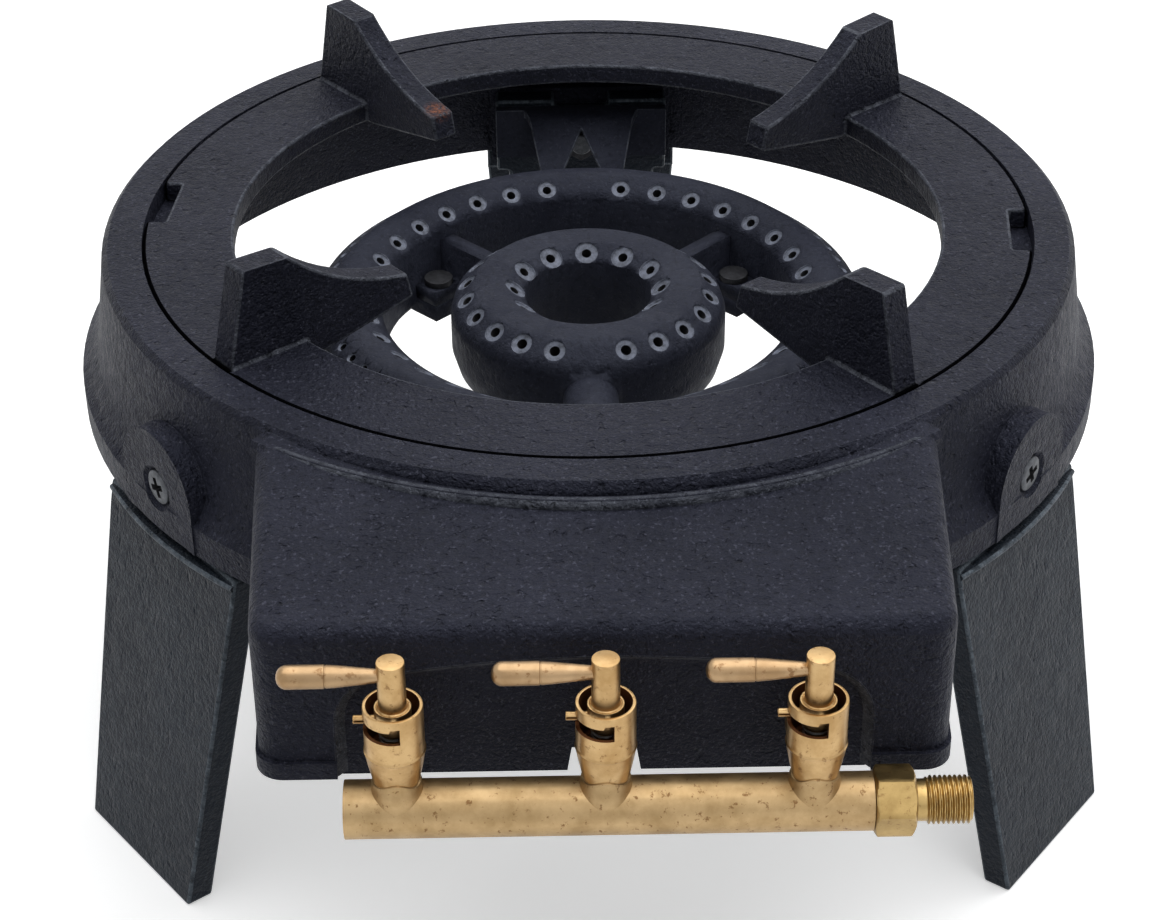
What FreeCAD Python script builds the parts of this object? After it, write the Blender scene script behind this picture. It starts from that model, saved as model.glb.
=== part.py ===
"""Cast-iron gas wok range: three splayed legs, a lift-off pan support with four prongs,
two burners and a brass manifold with three push-and-turn taps.

Millimetres. +Z is up, the taps face -Y and the origin lies on the floor, under the middle of
the bounding box. Inside the model the casting's own axis is the reference: every body is
drawn about it and then moved back by `axis_y`.
"""
import FreeCAD, Part
import math
import os
import Sketcher

V = FreeCAD.Vector
doc = FreeCAD.newDocument("WokRange")

# ---------------------------------------------------------------------------------------
# Driving sizes
# ---------------------------------------------------------------------------------------
SIZES = [
    # pan support plate
    ("plate_radius", 144.5, "outer radius of the lift-off pan support"),
    ("plate_opening", 115.5, "radius of the hole in the pan support"),
    ("plate_thick", 7.0, "thickness of the pan support"),
    ("plate_gap", 0.5, "radial clearance of the pan support in its rebate"),
    ("plate_turn", -5.6, "how far the loose pan support lies turned in its rebate, degrees"),
    ("notch_width", 27.0, "width of a lifting notch in the plate's edge"),
    ("notch_depth", 7.0, "depth of a lifting notch"),
    ("prong_count", 4, "number of prongs"),
    ("prong_thick", 9.0, "thickness of a prong"),
    ("prong_height", 31.0, "height of a prong above the plate"),
    ("prong_lean", 8.0, "how far a prong's back edge leans inward over its height"),
    ("prong_crown", 16.5, "length of a prong's flat top"),
    ("prong_tip_radius", 76.0, "distance of a prong's tip from the axis"),
    ("prong_tip_height", 8.5, "height of a prong's tip above the plate"),
    # main casting
    ("rim_height", 173.0, "height of the rim above the floor"),
    ("rim_width", 13.0, "width of the flat rim outside the plate"),
    ("rim_bevel", 2.0, "bevel of the rim's outer edge and of the lip's edges"),
    ("ledge_width", 13.0, "width of the ledge that the plate lies on"),
    ("ledge_thick", 6.0, "thickness of that ledge"),
    ("skirt_wall", 7.0, "wall of the skirt below the rim"),
    ("skirt_depth", 53.0, "depth of the skirt below the rim"),
    ("skirt_flare", 4.5, "how far the skirt widens above its lip"),
    ("lip_reach", 10.0, "how far the lip stands out from the rim"),
    ("lip_height", 14.0, "height of the lip's upright face"),
    ("box_reach", 55.0, "how far the front box stands out from the rim"),
    ("box_half_front", 94.0, "half width of the box at its front"),
    ("box_half_back", 99.0, "half width of the box where it leaves the skirt"),
    ("box_root", 40.0, "how far the box's plan runs in behind the skirt"),
    ("box_depth", 57.5, "depth of the box's lower edge below the rim"),
    ("box_wall", 8.0, "wall of the box at the sides and front"),
    ("box_top_drop", 4.0, "step down from the rim to the box's top"),
    ("box_top_fall", 4.5, "further fall of the box's top to its front edge"),
    ("box_corner", 8.0, "rounding of the box's upright edges"),
    ("box_round", 5.0, "rounding of the box's top edges"),
    ("flange_height", 5.5, "height of the flange round the box's lower edge"),
    ("flange_reach", 1.2, "how far that flange stands out"),
    ("bead_radius", 2.0, "radius of the bead between rim and box"),
    ("arch_half", 72.5, "half width of the arched recess in the box's face"),
    ("arch_corner", 17.0, "corner of the arched recess"),
    ("arch_spring", 22.5, "depth below the rim at which the arch springs"),
    ("arch_crown", 18.0, "depth below the rim of the arch's crown"),
    ("recess_depth", 3.5, "depth of the arched recess"),
    ("panel_drop", 2.0, "how far the recessed panel hangs below the box"),
    ("vent_half", 10.0, "half width of the air notch in the panel's lower edge"),
    ("vent_height", 8.0, "height of the air notch"),
    # legs
    ("front_leg_angle", 52.5, "angle of each front leg from straight ahead, degrees"),
    ("leg_width", 72.0, "width of a leg at its shoulder"),
    ("leg_foot_width", 60.0, "width of a leg at the floor"),
    ("leg_thick", 9.0, "thickness of a leg"),
    ("leg_set_in", 4.0, "how far a leg's shoulder lies inside the lip"),
    ("leg_splay", 24.7, "how far a leg's foot lies outside its shoulder"),
    ("shelf_thick", 8.0, "thickness of the step between leg and tenon"),
    ("shelf_width", 55.0, "width of that step behind the leg's plate"),
    ("tenon_width", 64.0, "width of a leg's tenon inside the skirt"),
    ("tenon_thick", 9.3, "thickness of that tenon"),
    ("tenon_height", 29.0, "height of that tenon above the skirt's lower edge"),
    ("tenon_notch", 20.0, "width of the notch in a tenon's top"),
    ("tenon_notch_depth", 5.0, "depth of that notch"),
    ("pad_depth", 5.2, "depth of the flat seat inside the skirt"),
    ("boss_half", 19.5, "half width of the raised boss round a leg screw"),
    ("screw_drop", 36.5, "depth of a leg screw below the rim"),
    ("screw_radius", 4.0, "radius of a leg screw's shank"),
    ("screw_head_radius", 7.25, "radius of a leg screw's head"),
    ("screw_length", 43.4, "length of a leg screw"),
    ("screw_play", 0.25, "radial clearance round a screw"),
    ("nut_flats", 13.0, "width across flats of a leg nut"),
    ("nut_height", 6.5, "height of a leg nut"),
    # rear bracket
    ("bracket_thick", 4.0, "thickness of the rear bracket's flange"),
    ("bracket_half", 32.0, "half width of the rear bracket's flange"),
    ("ramp_thick", 3.0, "thickness of the bracket's ramp"),
    ("ramp_half_back", 21.0, "half width of the ramp at the flange"),
    ("ramp_half_front", 12.0, "half width of the ramp at the burner"),
    ("ramp_landing", 7.5, "length of the ramp's level landing over the nut"),
    ("ramp_foot", 9.0, "length of the ramp's level foot under the burner's lug"),
    # large ring burner
    ("ring_outer", 91.0, "outer radius of the ring burner"),
    ("ring_inner", 69.0, "inner radius of the ring burner"),
    ("ring_top_drop", 25.0, "depth of the burners' crest below the rim"),
    ("ring_crest", 5.0, "width of the ring burner's crest"),
    ("ring_bevel_drop", 6.0, "height of the ring burner's two bevels"),
    ("ring_height", 31.0, "height of the ring burner"),
    ("ring_ports", 35, "pitches of its inner row, one of them left blank"),
    ("ring_outer_ports", 70, "pitches of its outer row, one of them left blank"),
    ("port_radius", 1.5, "radius of an inner-row port"),
    ("outer_port_radius", 1.2, "radius of an outer-row port"),
    ("port_depth", 5.0, "drilled depth of a port"),
    ("lug_half", 10.0, "half width of the ring burner's rear lug"),
    ("lug_height", 6.0, "height of that lug"),
    ("lug_reach", 12.0, "how far that lug stands out"),
    ("seat_reach", 12.0, "how far the inner seats stand in from the ring burner"),
    ("seat_height", 6.0, "height of an inner seat"),
    # centre burner
    ("centre_outer", 46.0, "outer radius of the centre burner"),
    ("centre_hole", 21.0, "radius of the air hole in the centre burner"),
    ("centre_crest_in", 27.5, "inner radius of the centre burner's crest"),
    ("centre_crest_out", 37.5, "outer radius of that crest"),
    ("centre_height", 36.0, "height of the centre burner"),
    ("centre_ports", 22, "pitches of its outer row, one of them left blank"),
    ("centre_inner_ports", 12, "ports in its inner row"),
    ("arm_thick", 6.0, "thickness of an arm of the centre burner"),
    ("arm_gap", 0.4, "clearance between an arm and the ring burner"),
    ("arm_screw_radius", 2.5, "radius of an arm's screw"),
    # mixing tubes
    ("tube_radius", 9.0, "outer radius of a mixing tube"),
    ("tube_bore", 7.0, "bore radius of a mixing tube"),
    ("bell_radius", 13.5, "outer radius of a mixing tube's mouth"),
    ("bell_length", 24.0, "length of the taper behind that mouth"),
    ("bell_gap", 14.0, "distance from the panel to a mixing tube's mouth"),
    ("tunnel_play", 0.5, "clearance round the centre tube under the ring burner"),
    ("rest_back", 1.0, "distance from the rim's front to the bar that carries the tubes"),
    ("rest_width", 7.0, "width of that bar"),
    ("rest_height", 12.0, "height of that bar"),
    ("rest_play", 0.3, "clearance of a mixing tube on the bar"),
    # manifold and taps
    ("tap_pitch", 55.4, "spacing of the taps"),
    ("tap_standoff", 16.0, "distance of the tap axes from the box's face"),
    ("manifold_drop", 55.4, "depth of the manifold's axis below the rim"),
    ("manifold_radius", 8.0, "outer radius of the manifold tube"),
    ("manifold_bore", 6.0, "bore radius of the manifold tube"),
    ("manifold_left", 14.3, "length of manifold beyond the first tap"),
    ("manifold_right", 15.8, "length of manifold beyond the last tap"),
    ("inlet_flats", 17.0, "width across flats of the gas inlet"),
    ("inlet_length", 11.3, "length of the inlet's hexagon"),
    ("inlet_turn", 11.5, "turn of the inlet's hexagon, degrees"),
    ("inlet_neck", 2.7, "length of the undercut behind the thread"),
    ("inlet_neck_radius", 5.7, "radius of that undercut"),
    ("thread_radius", 6.58, "outer radius of the inlet's quarter-inch gas thread"),
    ("thread_length", 12.3, "length of that thread"),
    ("inlet_bore", 4.0, "bore radius of the inlet"),
    ("fit_play", 0.05, "radial clearance of running and pushed-in fits"),
    ("barrel_radius", 8.1, "outer radius of a tap's barrel"),
    ("barrel_bore", 7.0, "bore radius of a tap's barrel"),
    ("barrel_top", 35.4, "height of a tap's rim above the manifold's axis"),
    ("seat_top", 21.4, "height of the plug's top above the manifold's axis"),
    ("waist_radius", 7.5, "radius of a tap's body below its barrel"),
    ("waist_bottom", 8.9, "height of a tap's foot above the manifold's axis"),
    ("neck_radius", 4.8, "radius of the neck that enters the manifold"),
    ("neck_reach", 4.0, "how far that neck reaches below the foot"),
    ("plug_top_radius", 5.5, "radius of the tapered plug at its top"),
    ("plug_foot_radius", 4.5, "radius of the tapered plug at its foot"),
    ("plug_length", 10.9, "length of the plug"),
    ("jet_height", 12.4, "height of the jets above the manifold's axis"),
    ("spout_radius", 4.5, "radius of a tap's spout"),
    ("spout_bore", 1.75, "bore radius of a spout"),
    ("collar_radius", 6.5, "radius of the spout's collar in front of the panel"),
    ("collar_length", 2.5, "length of that collar"),
    ("spout_end", 3.0, "how far a spout passes the panel"),
    ("jet_flats", 12.0, "width across flats of a jet"),
    ("jet_length", 6.0, "length of a jet's hexagon"),
    ("jet_nose", 5.5, "length of a jet's nose"),
    ("stem_radius", 3.75, "radius of a stem"),
    ("stem_top", 49.3, "height of a stem's top above the manifold's axis"),
    ("drum_radius", 4.9, "radius of a stem's drum"),
    ("drum_sink", 1.0, "depth of the drum's top below the tap's rim"),
    ("drum_bottom", 28.2, "height of the drum's underside above the manifold's axis"),
    ("pin_radius", 1.2, "radius of a stop pin"),
    ("pin_height", 30.7, "height of a stop pin above the manifold's axis"),
    ("pin_reach", 2.4, "how far a stop pin stands out of the barrel"),
    ("push_travel", 1.4, "how far a stem can be pushed down"),
    ("turn_range", 95.0, "how far a stem turns, degrees"),
    ("slot_play", 0.1, "clearance of the stop pin in its slot"),
    ("slot_step", 1.0, "height of the step at each end of the slot"),
    ("tongue_thick", 2.0, "thickness of the tongue that turns the plug"),
    ("tongue_half", 2.3, "half width of that tongue"),
    ("tongue_bottom", 18.6, "height of the tongue's end above the manifold's axis"),
    ("spring_radius", 3.7, "mean radius of a tap's spring"),
    ("spring_wire", 0.7, "wire diameter of that spring"),
    ("spring_play", 0.1, "clearance at each end of that spring"),
    ("handle_height", 44.9, "height of a handle above the manifold's axis"),
    ("handle_reach", 29.6, "distance of a handle's end from the stem's axis"),
    ("handle_radius", 3.25, "radius of a handle's grip"),
    ("handle_neck", 2.5, "radius of a handle where it leaves the stem"),
    ("handle_root", 1.8, "radius of a handle inside the stem"),
]

sheet = doc.addObject("Spreadsheet::Sheet", "Sizes")
for row, (alias, number, note) in enumerate(SIZES, start=1):
    sheet.set(f"A{row}", alias)
    sheet.set(f"B{row}", str(number))
    sheet.set(f"C{row}", note)
    sheet.setAlias(f"B{row}", alias)
doc.recompute()


class Size:
    """A number together with the sheet expression that it comes from."""

    def __init__(self, number, text):
        self.number = float(number)
        self.text = text

    @staticmethod
    def of(other):
        return other if isinstance(other, Size) else Size(other, repr(float(other)))

    def join(self, other, sign, number):
        return Size(number, f"({self.text} {sign} {other.text})")

    def __add__(self, other):
        other = Size.of(other)
        return self.join(other, "+", self.number + other.number)

    def __radd__(self, other):
        return Size.of(other) + self

    def __sub__(self, other):
        other = Size.of(other)
        return self.join(other, "-", self.number - other.number)

    def __rsub__(self, other):
        return Size.of(other) - self

    def __mul__(self, other):
        other = Size.of(other)
        return self.join(other, "*", self.number * other.number)

    def __rmul__(self, other):
        return Size.of(other) * self

    def __truediv__(self, other):
        other = Size.of(other)
        return self.join(other, "/", self.number / other.number)

    def __neg__(self):
        return Size(-self.number, f"(0 - {self.text})")


def cosine(angle):
    return Size(math.cos(math.radians(angle.number)), f"cos({angle.text} * 1 deg)")


def sine(angle):
    return Size(math.sin(math.radians(angle.number)), f"sin({angle.text} * 1 deg)")


def root(size):
    return Size(math.sqrt(size.number), f"sqrt({size.text})")


class Cells:
    """The sheet's cells, read as attributes."""

    def __getattr__(self, alias):
        return Size(sheet.get(alias), f"Sizes.{alias}")


S = Cells()
ZERO = Size(0, "0")

# ---------------------------------------------------------------------------------------
# Places worked out from the driving sizes, all about the casting's axis
# ---------------------------------------------------------------------------------------
rebate_radius = S.plate_radius + S.plate_gap
rim_radius = rebate_radius + S.rim_width
lip_radius = rim_radius + S.lip_reach
rebate_floor = S.rim_height - S.plate_thick
skirt_bottom = S.rim_height - S.skirt_depth
seat_face = rim_radius - S.skirt_wall - S.pad_depth      # flat seat of a tenon
boss_face = lip_radius - 0.6                             # outer face of a screw boss
screw_z = S.rim_height - S.screw_drop
leg_face = lip_radius - S.leg_set_in                     # a leg's outer face at its shoulder
foot_face = leg_face + S.leg_splay                       # the same at the floor
tenon_back = seat_face - S.tenon_thick

box_front = rim_radius + S.box_reach                     # distance of the box's face
box_bottom = S.rim_height - S.box_depth
box_top = S.rim_height - S.box_top_drop
panel_face = box_front - S.recess_depth                  # front of the recessed panel
panel_back = box_front - S.box_wall

tap_y = box_front + S.tap_standoff                       # distance of the tap axes
manifold_z = S.rim_height - S.manifold_drop
jet_z = manifold_z + S.jet_height
inlet_corner = S.inlet_flats / (2 * cosine(Size(30, "30")))
front_reach = tap_y + inlet_corner * cosine(30 - S.inlet_turn)
axis_y = (front_reach - foot_face) / 2                   # puts the box's middle at Y = 0

crest_z = S.rim_height - S.ring_top_drop
ring_bottom = crest_z - S.ring_height
mouth_y = panel_back - S.bell_gap                        # distance of the mixing tubes' mouths


# ---------------------------------------------------------------------------------------
# Drawing helpers
# ---------------------------------------------------------------------------------------
def body(label, turn=None, move=(ZERO, ZERO)):
    """A PartDesign body about the casting's axis, turned about it by `turn` degrees."""
    made = doc.addObject("PartDesign::Body", label)
    made.Label = label
    made.Placement = FreeCAD.Placement(V(0, 0, 0), FreeCAD.Rotation(V(0, 0, 1), 1.0 if turn else 0.0))
    made.setExpression("Placement.Base.x", move[0].text)
    made.setExpression("Placement.Base.y", (axis_y + move[1]).text)
    if turn:
        made.setExpression("Placement.Rotation.Angle", turn.text)
    return made


def origin_part(owner, role):
    """The origin plane or axis of a body that has the given role."""
    return next(part for part in owner.Origin.OriginFeatures if part.Role == role)


def flat_sketch(owner, name, plane, offset=(0, 0, 0), rotation=None):
    """A sketch on one of the body's own planes, moved by `offset` in that plane's axes."""
    made = owner.newObject("Sketcher::SketchObject", name)
    made.AttachmentSupport = [(origin_part(owner, plane), "")]
    made.MapMode = "FlatFace"
    offset = [Size.of(value) for value in offset]
    made.AttachmentOffset = FreeCAD.Placement(
        V(*[value.number for value in offset]), rotation or FreeCAD.Rotation())
    for axis, value in zip("xyz", offset):
        made.setExpression(f"AttachmentOffset.Base.{axis}", value.text)
    return made


def fix(sketch, geometry, end, point):
    """Ties one end of a sketch's geometry to a point given in sizes."""
    for kind, value in zip(("DistanceX", "DistanceY"), point):
        value = Size.of(value)
        index = sketch.addConstraint(
            Sketcher.Constraint(kind, -1, 1, geometry, end, value.number))
        sketch.setExpression(f"Constraints[{index}]", value.text)


def at(point):
    return V(Size.of(point[0]).number, Size.of(point[1]).number, 0)


def outline(sketch, steps):
    """Draws a closed outline. Each step is a corner (x, y), or an arc that leaves the corner
    before it: ("arc", through, corner). The last step joins the first corner."""
    corners = [step[2] if step[0] == "arc" else step for step in steps]
    pieces = []
    for number, step in enumerate(steps):
        start, end = corners[number - 1], corners[number]
        if step[0] == "arc":
            way = [at(start), at(step[1]), at(end)]
            first = 1
            if (way[1] - way[0]).cross(way[2] - way[1]).z < 0:
                way.reverse()
                first = 2
            index = sketch.addGeometry(Part.Arc(*way), False)
            pieces.append((index, first, 3 - first, step[1]))
        else:
            index = sketch.addGeometry(Part.LineSegment(at(start), at(end)), False)
            pieces.append((index, 1, 2, None))
    for number, (index, first, last, through) in enumerate(pieces):
        after = pieces[(number + 1) % len(pieces)]
        sketch.addConstraint(Sketcher.Constraint("Coincident", index, last, after[0], after[1]))
        fix(sketch, index, last, corners[number])
        if through:
            helper = sketch.addGeometry(Part.Point(at(through)), True)
            fix(sketch, helper, 1, through)
            sketch.addConstraint(Sketcher.Constraint("PointOnObject", helper, 1, index))


def circle(sketch, centre, radius):
    """Draws a circle whose centre and radius are sizes."""
    index = sketch.addGeometry(Part.Circle(at(centre), V(0, 0, 1), radius.number), False)
    fix(sketch, index, 3, centre)
    tie = sketch.addConstraint(Sketcher.Constraint("Radius", index, radius.number))
    sketch.setExpression(f"Constraints[{tie}]", radius.text)


def corner_arc(centre, radius, middle):
    """The point of a rounded corner that lies at `middle` degrees from its centre."""
    return (centre[0] + radius * math.cos(math.radians(middle)),
            centre[1] + radius * math.sin(math.radians(middle)))


def half_round(centre, radius):
    """Outline step over the top of a half circle, from its left end to its right end."""
    return ("arc", (centre[0], centre[1] + radius), (centre[0] + radius, centre[1]))


def revolve(owner, name, steps, plane="XZ_Plane", offset=(0, 0, 0), axis="V_Axis", cut=False,
            angle=360.0, midplane=False, rotation=None):
    """Revolves an outline about an axis of its own sketch, as material or as a cut."""
    sketch = flat_sketch(owner, name + "_profile", plane, offset, rotation)
    outline(sketch, steps)
    made = owner.newObject("PartDesign::Groove" if cut else "PartDesign::Revolution", name)
    made.Profile = sketch
    made.ReferenceAxis = (sketch, [axis])
    angle = Size.of(angle)
    made.Angle = angle.number
    made.setExpression("Angle", angle.text)
    made.Midplane = midplane
    sketch.Visibility = False
    return made


def extrude(owner, name, draw, length, plane="XY_Plane", offset=(0, 0, 0), cut=False,
            midplane=False, back=False, taper=0.0, rotation=None):
    """Pads or pockets what `draw` puts in a sketch. A pad follows the plane's normal and a
    pocket runs against it, unless `back` turns either round."""
    sketch = flat_sketch(owner, name + "_profile", plane, offset, rotation)
    draw(sketch)
    made = owner.newObject("PartDesign::Pocket" if cut else "PartDesign::Pad", name)
    made.Profile = sketch
    length = Size.of(length)
    made.Length = length.number
    made.setExpression("Length", length.text)
    made.Midplane = midplane
    made.Reversed = back
    made.TaperAngle = taper
    sketch.Visibility = False
    return made


def round_edges(owner, name, radius, wanted):
    """Rounds the edges whose bounding box passes the test `wanted`."""
    solid = owner.Tip
    edges = [f"Edge{number}" for number, edge in enumerate(solid.Shape.Edges, start=1)
             if wanted(edge.BoundBox)]
    made = owner.newObject("PartDesign::Fillet", name)
    made.Base = (solid, edges)
    made.Radius = radius.number
    made.setExpression("Radius", radius.text)
    solid.Visibility = False
    owner.Tip = made
    doc.recompute()
    return made


def pattern(owner, name, feature, count, angle, axis="Z_Axis"):
    """Repeats a feature about one of the body's axes, over `angle` degrees in all."""
    made = owner.newObject("PartDesign::PolarPattern", name)
    made.Originals = [feature]
    made.Axis = (origin_part(owner, axis), [""])
    made.Angle = angle
    made.Occurrences = count
    owner.Tip = made
    return made


def mirror(owner, name, features, plane="YZ_Plane"):
    """Mirrors features in one of the body's planes."""
    made = owner.newObject("PartDesign::Mirrored", name)
    made.Originals = features
    made.MirrorPlane = (origin_part(owner, plane), [""])
    owner.Tip = made
    return made


def tilted(azimuth, lean):
    """Turns a plane that faces +Z: leaned out by `lean`, then round to `azimuth`, degrees."""
    return FreeCAD.Rotation(V(0, 0, 1), azimuth) * FreeCAD.Rotation(V(0, 1, 0), lean)


def upright(azimuth):
    """Turns the XZ plane, which faces -Y, to face `azimuth` degrees from +X."""
    return FreeCAD.Rotation(V(0, 1, 0), azimuth - 270)


def radial_offset(distance, azimuth):
    """Moves an upright plane out along the way it faces, in the XZ plane's own axes."""
    turn = azimuth - 270
    return (distance * sine(turn), ZERO, distance * cosine(turn))


# ---------------------------------------------------------------------------------------
# Main casting
# ---------------------------------------------------------------------------------------
def box_plan(sketch, grow, back):
    """Plan of the front box, from `back` to the box's face, grown all round by `grow`."""
    front = -(box_front + grow)
    wide, narrow = S.box_half_back + grow, S.box_half_front + grow
    corner = S.box_corner
    right = (narrow - corner, front + corner)
    left = (-(narrow - corner), front + corner)
    outline(sketch, [
        (-wide, back),
        (-narrow, front + corner),
        ("arc", corner_arc(left, corner, 225), (-(narrow - corner), front)),
        (narrow - corner, front),
        ("arc", corner_arc(right, corner, 315), (narrow, front + corner)),
        (wide, back),
    ])


def arch(sketch):
    """The arched recess of the box's face, open at the foot."""
    low = box_bottom - S.panel_drop - 1
    spring = S.rim_height - S.arch_spring
    crown = S.rim_height - S.arch_crown
    corner = S.arch_corner
    left = (-(S.arch_half - corner), spring - corner)
    right = (S.arch_half - corner, spring - corner)
    outline(sketch, [
        (-S.arch_half, low),
        (-S.arch_half, spring - corner),
        ("arc", corner_arc(left, corner, 135), (-(S.arch_half - corner), spring)),
        ("arc", (ZERO, crown), (S.arch_half - corner, spring)),
        ("arc", corner_arc(right, corner, 45), (S.arch_half, spring - corner)),
        (S.arch_half, low),
    ])


def boss(casting, name, azimuth):
    """Arched boss outside the skirt and flat seat inside it, for the leg at `azimuth`."""
    angle = azimuth.number
    inner = rim_radius - S.skirt_wall / 2

    def arched(sketch):
        outline(sketch, [
            (-S.boss_half, skirt_bottom + S.rim_bevel),
            (-S.boss_half, screw_z),
            half_round((ZERO, screw_z), S.boss_half),
            (S.boss_half, skirt_bottom + S.rim_bevel),
        ])

    def seat(sketch):
        half = S.tenon_width / 2 + 2
        outline(sketch, [
            (-half, skirt_bottom),
            (-half, skirt_bottom + S.tenon_height + 1),
            (half, skirt_bottom + S.tenon_height + 1),
            (half, skirt_bottom),
        ])

    outside = extrude(casting, name + "_boss", arched, boss_face - inner, "XZ_Plane",
                      radial_offset(inner, azimuth), rotation=upright(angle))
    inside = extrude(casting, name + "_seat", seat, rim_radius - S.skirt_wall / 2 - seat_face,
                     "XZ_Plane", radial_offset(seat_face, azimuth), rotation=upright(angle))
    return [outside, inside]


def leg_hole(casting, name, azimuth):
    """Countersunk hole for a leg screw, along the radius at `azimuth`."""
    sink = S.screw_head_radius + S.screw_play
    hole = S.screw_radius + S.screw_play
    turn = FreeCAD.Rotation(V(0, 0, 1), azimuth.number - 90)
    steps = [
        (seat_face - 1, ZERO),
        (seat_face - 1, hole),
        (boss_face - (sink - hole), hole),
        (boss_face, sink),
        (boss_face + 2, sink),
        (boss_face + 2, ZERO),
    ]
    sketch = flat_sketch(casting, name + "_profile", "XY_Plane", (0, 0, screw_z),
                         FreeCAD.Rotation(V(0, 0, 1), azimuth.number))
    outline(sketch, steps)
    made = casting.newObject("PartDesign::Groove", name)
    made.Profile = sketch
    made.ReferenceAxis = (sketch, ["H_Axis"])
    made.Angle = 360
    sketch.Visibility = False
    return made, turn


FRONT_RIGHT = 270 + S.front_leg_angle
FRONT_LEFT = 270 - S.front_leg_angle
REAR = Size(90, "90")


def make_casting():
    """Rim, skirt and lip in one revolve, then the hollow box with its arched face."""
    casting = body("cast_body")
    inner_top = rim_radius - S.skirt_wall
    ledge_edge = rebate_radius - S.ledge_width
    ledge_under = rebate_floor - S.ledge_thick
    flare = rim_radius + S.skirt_flare
    lip_top = skirt_bottom + S.lip_height
    cove = S.lip_reach - S.skirt_flare
    soft = S.rim_bevel
    back = -(rim_radius - S.skirt_wall - S.box_root)
    def box_outline(sketch):
        wide, narrow = S.box_half_back, S.box_half_front
        outline(sketch, [
            (-wide, back),
            (-narrow, -box_front),
            (narrow, -box_front),
            (wide, back),
        ])

    def slope(sketch):
        rate = S.box_top_fall / S.box_reach
        outline(sketch, [
            (back - 3, box_top + rate * (rim_radius + back - 3)),
            (-(box_front + 3), box_top - rate * (S.box_reach + 3)),
            (-(box_front + 3), S.rim_height + 9),
            (back - 3, S.rim_height + 9),
        ])

    extrude(casting, "box", box_outline, S.rim_height - box_bottom, offset=(0, 0, box_bottom))
    extrude(casting, "box_slope", slope, S.box_half_back * 2 + 10, "YZ_Plane", cut=True,
            midplane=True)
    doc.recompute()
    foremost = axis_y.number - box_front.number
    round_edges(casting, "box_corners", S.box_corner,
                lambda bounds: bounds.YMax < foremost + 0.1 and bounds.XLength < 0.1)
    round_edges(casting, "box_brow", S.box_round,
                lambda bounds: bounds.ZMin > box_top.number - S.box_top_fall.number - 1
                and bounds.YMin < foremost + S.box_reach.number / 2)
    extrude(casting, "box_flange", lambda sketch: box_plan(sketch, S.flange_reach, back),
            S.flange_height, offset=(0, 0, box_bottom))

    revolve(casting, "skirt", [
        (rebate_radius, S.rim_height),
        (rebate_radius, rebate_floor),
        (ledge_edge, rebate_floor),
        (ledge_edge, ledge_under),
        (inner_top, ledge_under - 3),
        (rim_radius, skirt_bottom),
        (lip_radius - soft, skirt_bottom),
        (lip_radius, skirt_bottom + soft),
        (lip_radius, lip_top - soft),
        (lip_radius - soft, lip_top),
        (flare, lip_top + cove),
        (rim_radius, S.rim_height - soft),
        (rim_radius - soft, S.rim_height),
    ])

    # the ring's rebate and the room under it are cut again through the box
    revolve(casting, "well", [
        (ZERO, box_bottom - 1),
        (inner_top, box_bottom - 1),
        (inner_top, ledge_under - 3),
        (ledge_edge, ledge_under),
        (ledge_edge, rebate_floor),
        (rebate_radius, rebate_floor),
        (rebate_radius, S.rim_height + 1),
        (ZERO, S.rim_height + 1),
    ], cut=True)

    # hollow of the box, open below and into the skirt
    ceiling = box_top - S.box_top_fall - S.box_wall

    def hollow(sketch):
        wide, narrow = S.box_half_back - S.box_wall, S.box_half_front - S.box_wall
        outline(sketch, [
            (-wide, back),
            (-narrow, -panel_back),
            (narrow, -panel_back),
            (wide, back),
        ])

    extrude(casting, "box_hollow", hollow, ceiling - box_bottom + 1, offset=(0, 0, ceiling),
            cut=True)
    tube_rest(casting)

    extrude(casting, "arch_recess", arch, S.recess_depth + S.flange_reach + 1,
            "XZ_Plane", (0, 0, box_front + S.flange_reach + 1), cut=True)

    def apron(sketch):
        half = S.arch_half - 1
        outline(sketch, [
            (-half, box_bottom - S.panel_drop),
            (-half, box_bottom + 1),
            (half, box_bottom + 1),
            (half, box_bottom - S.panel_drop),
        ])

    extrude(casting, "panel_apron", apron, panel_face - panel_back, "XZ_Plane",
            (0, 0, panel_back))

    def vent(sketch):
        low = box_bottom - S.panel_drop
        outline(sketch, [
            (-(S.vent_half + 0.2), low - 1),
            (-(S.vent_half - 1.2), low + S.vent_height),
            (S.vent_half - 1.2, low + S.vent_height),
            (S.vent_half + 0.2, low - 1),
        ])

    extrude(casting, "air_notch", vent, S.box_wall + 4, "XZ_Plane", (0, 0, box_front + 2),
            cut=True)

    def spouts(sketch):
        for place in (-S.tap_pitch, ZERO, S.tap_pitch):
            circle(sketch, (place, jet_z), S.spout_radius + 0.3)

    extrude(casting, "spout_holes", spouts, S.box_wall + 4, "XZ_Plane", (0, 0, box_front + 2),
            cut=True)

    half_bead = math.degrees(math.asin((S.box_half_back.number - 3) / rim_radius.number))
    bead_centre = rim_radius + 2 * S.bead_radius
    crown = S.bead_radius * 0.5
    revolve(casting, "bead", [
        (-(bead_centre + S.bead_radius), box_top - S.bead_radius),
        (-(bead_centre + S.bead_radius), box_top),
        (-(bead_centre + crown), box_top + S.bead_radius),
        (-(bead_centre - crown), box_top + S.bead_radius),
        (-(bead_centre - S.bead_radius), box_top),
        (-(bead_centre - S.bead_radius), box_top - S.bead_radius),
    ], plane="YZ_Plane", angle=2 * half_bead, midplane=True)

    for name, azimuth in (("right", FRONT_RIGHT), ("left", FRONT_LEFT), ("rear", REAR)):
        boss(casting, name, azimuth)
    for name, azimuth in (("right", FRONT_RIGHT), ("left", FRONT_LEFT), ("rear", REAR)):
        leg_hole(casting, name + "_screw_hole", azimuth)


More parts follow.
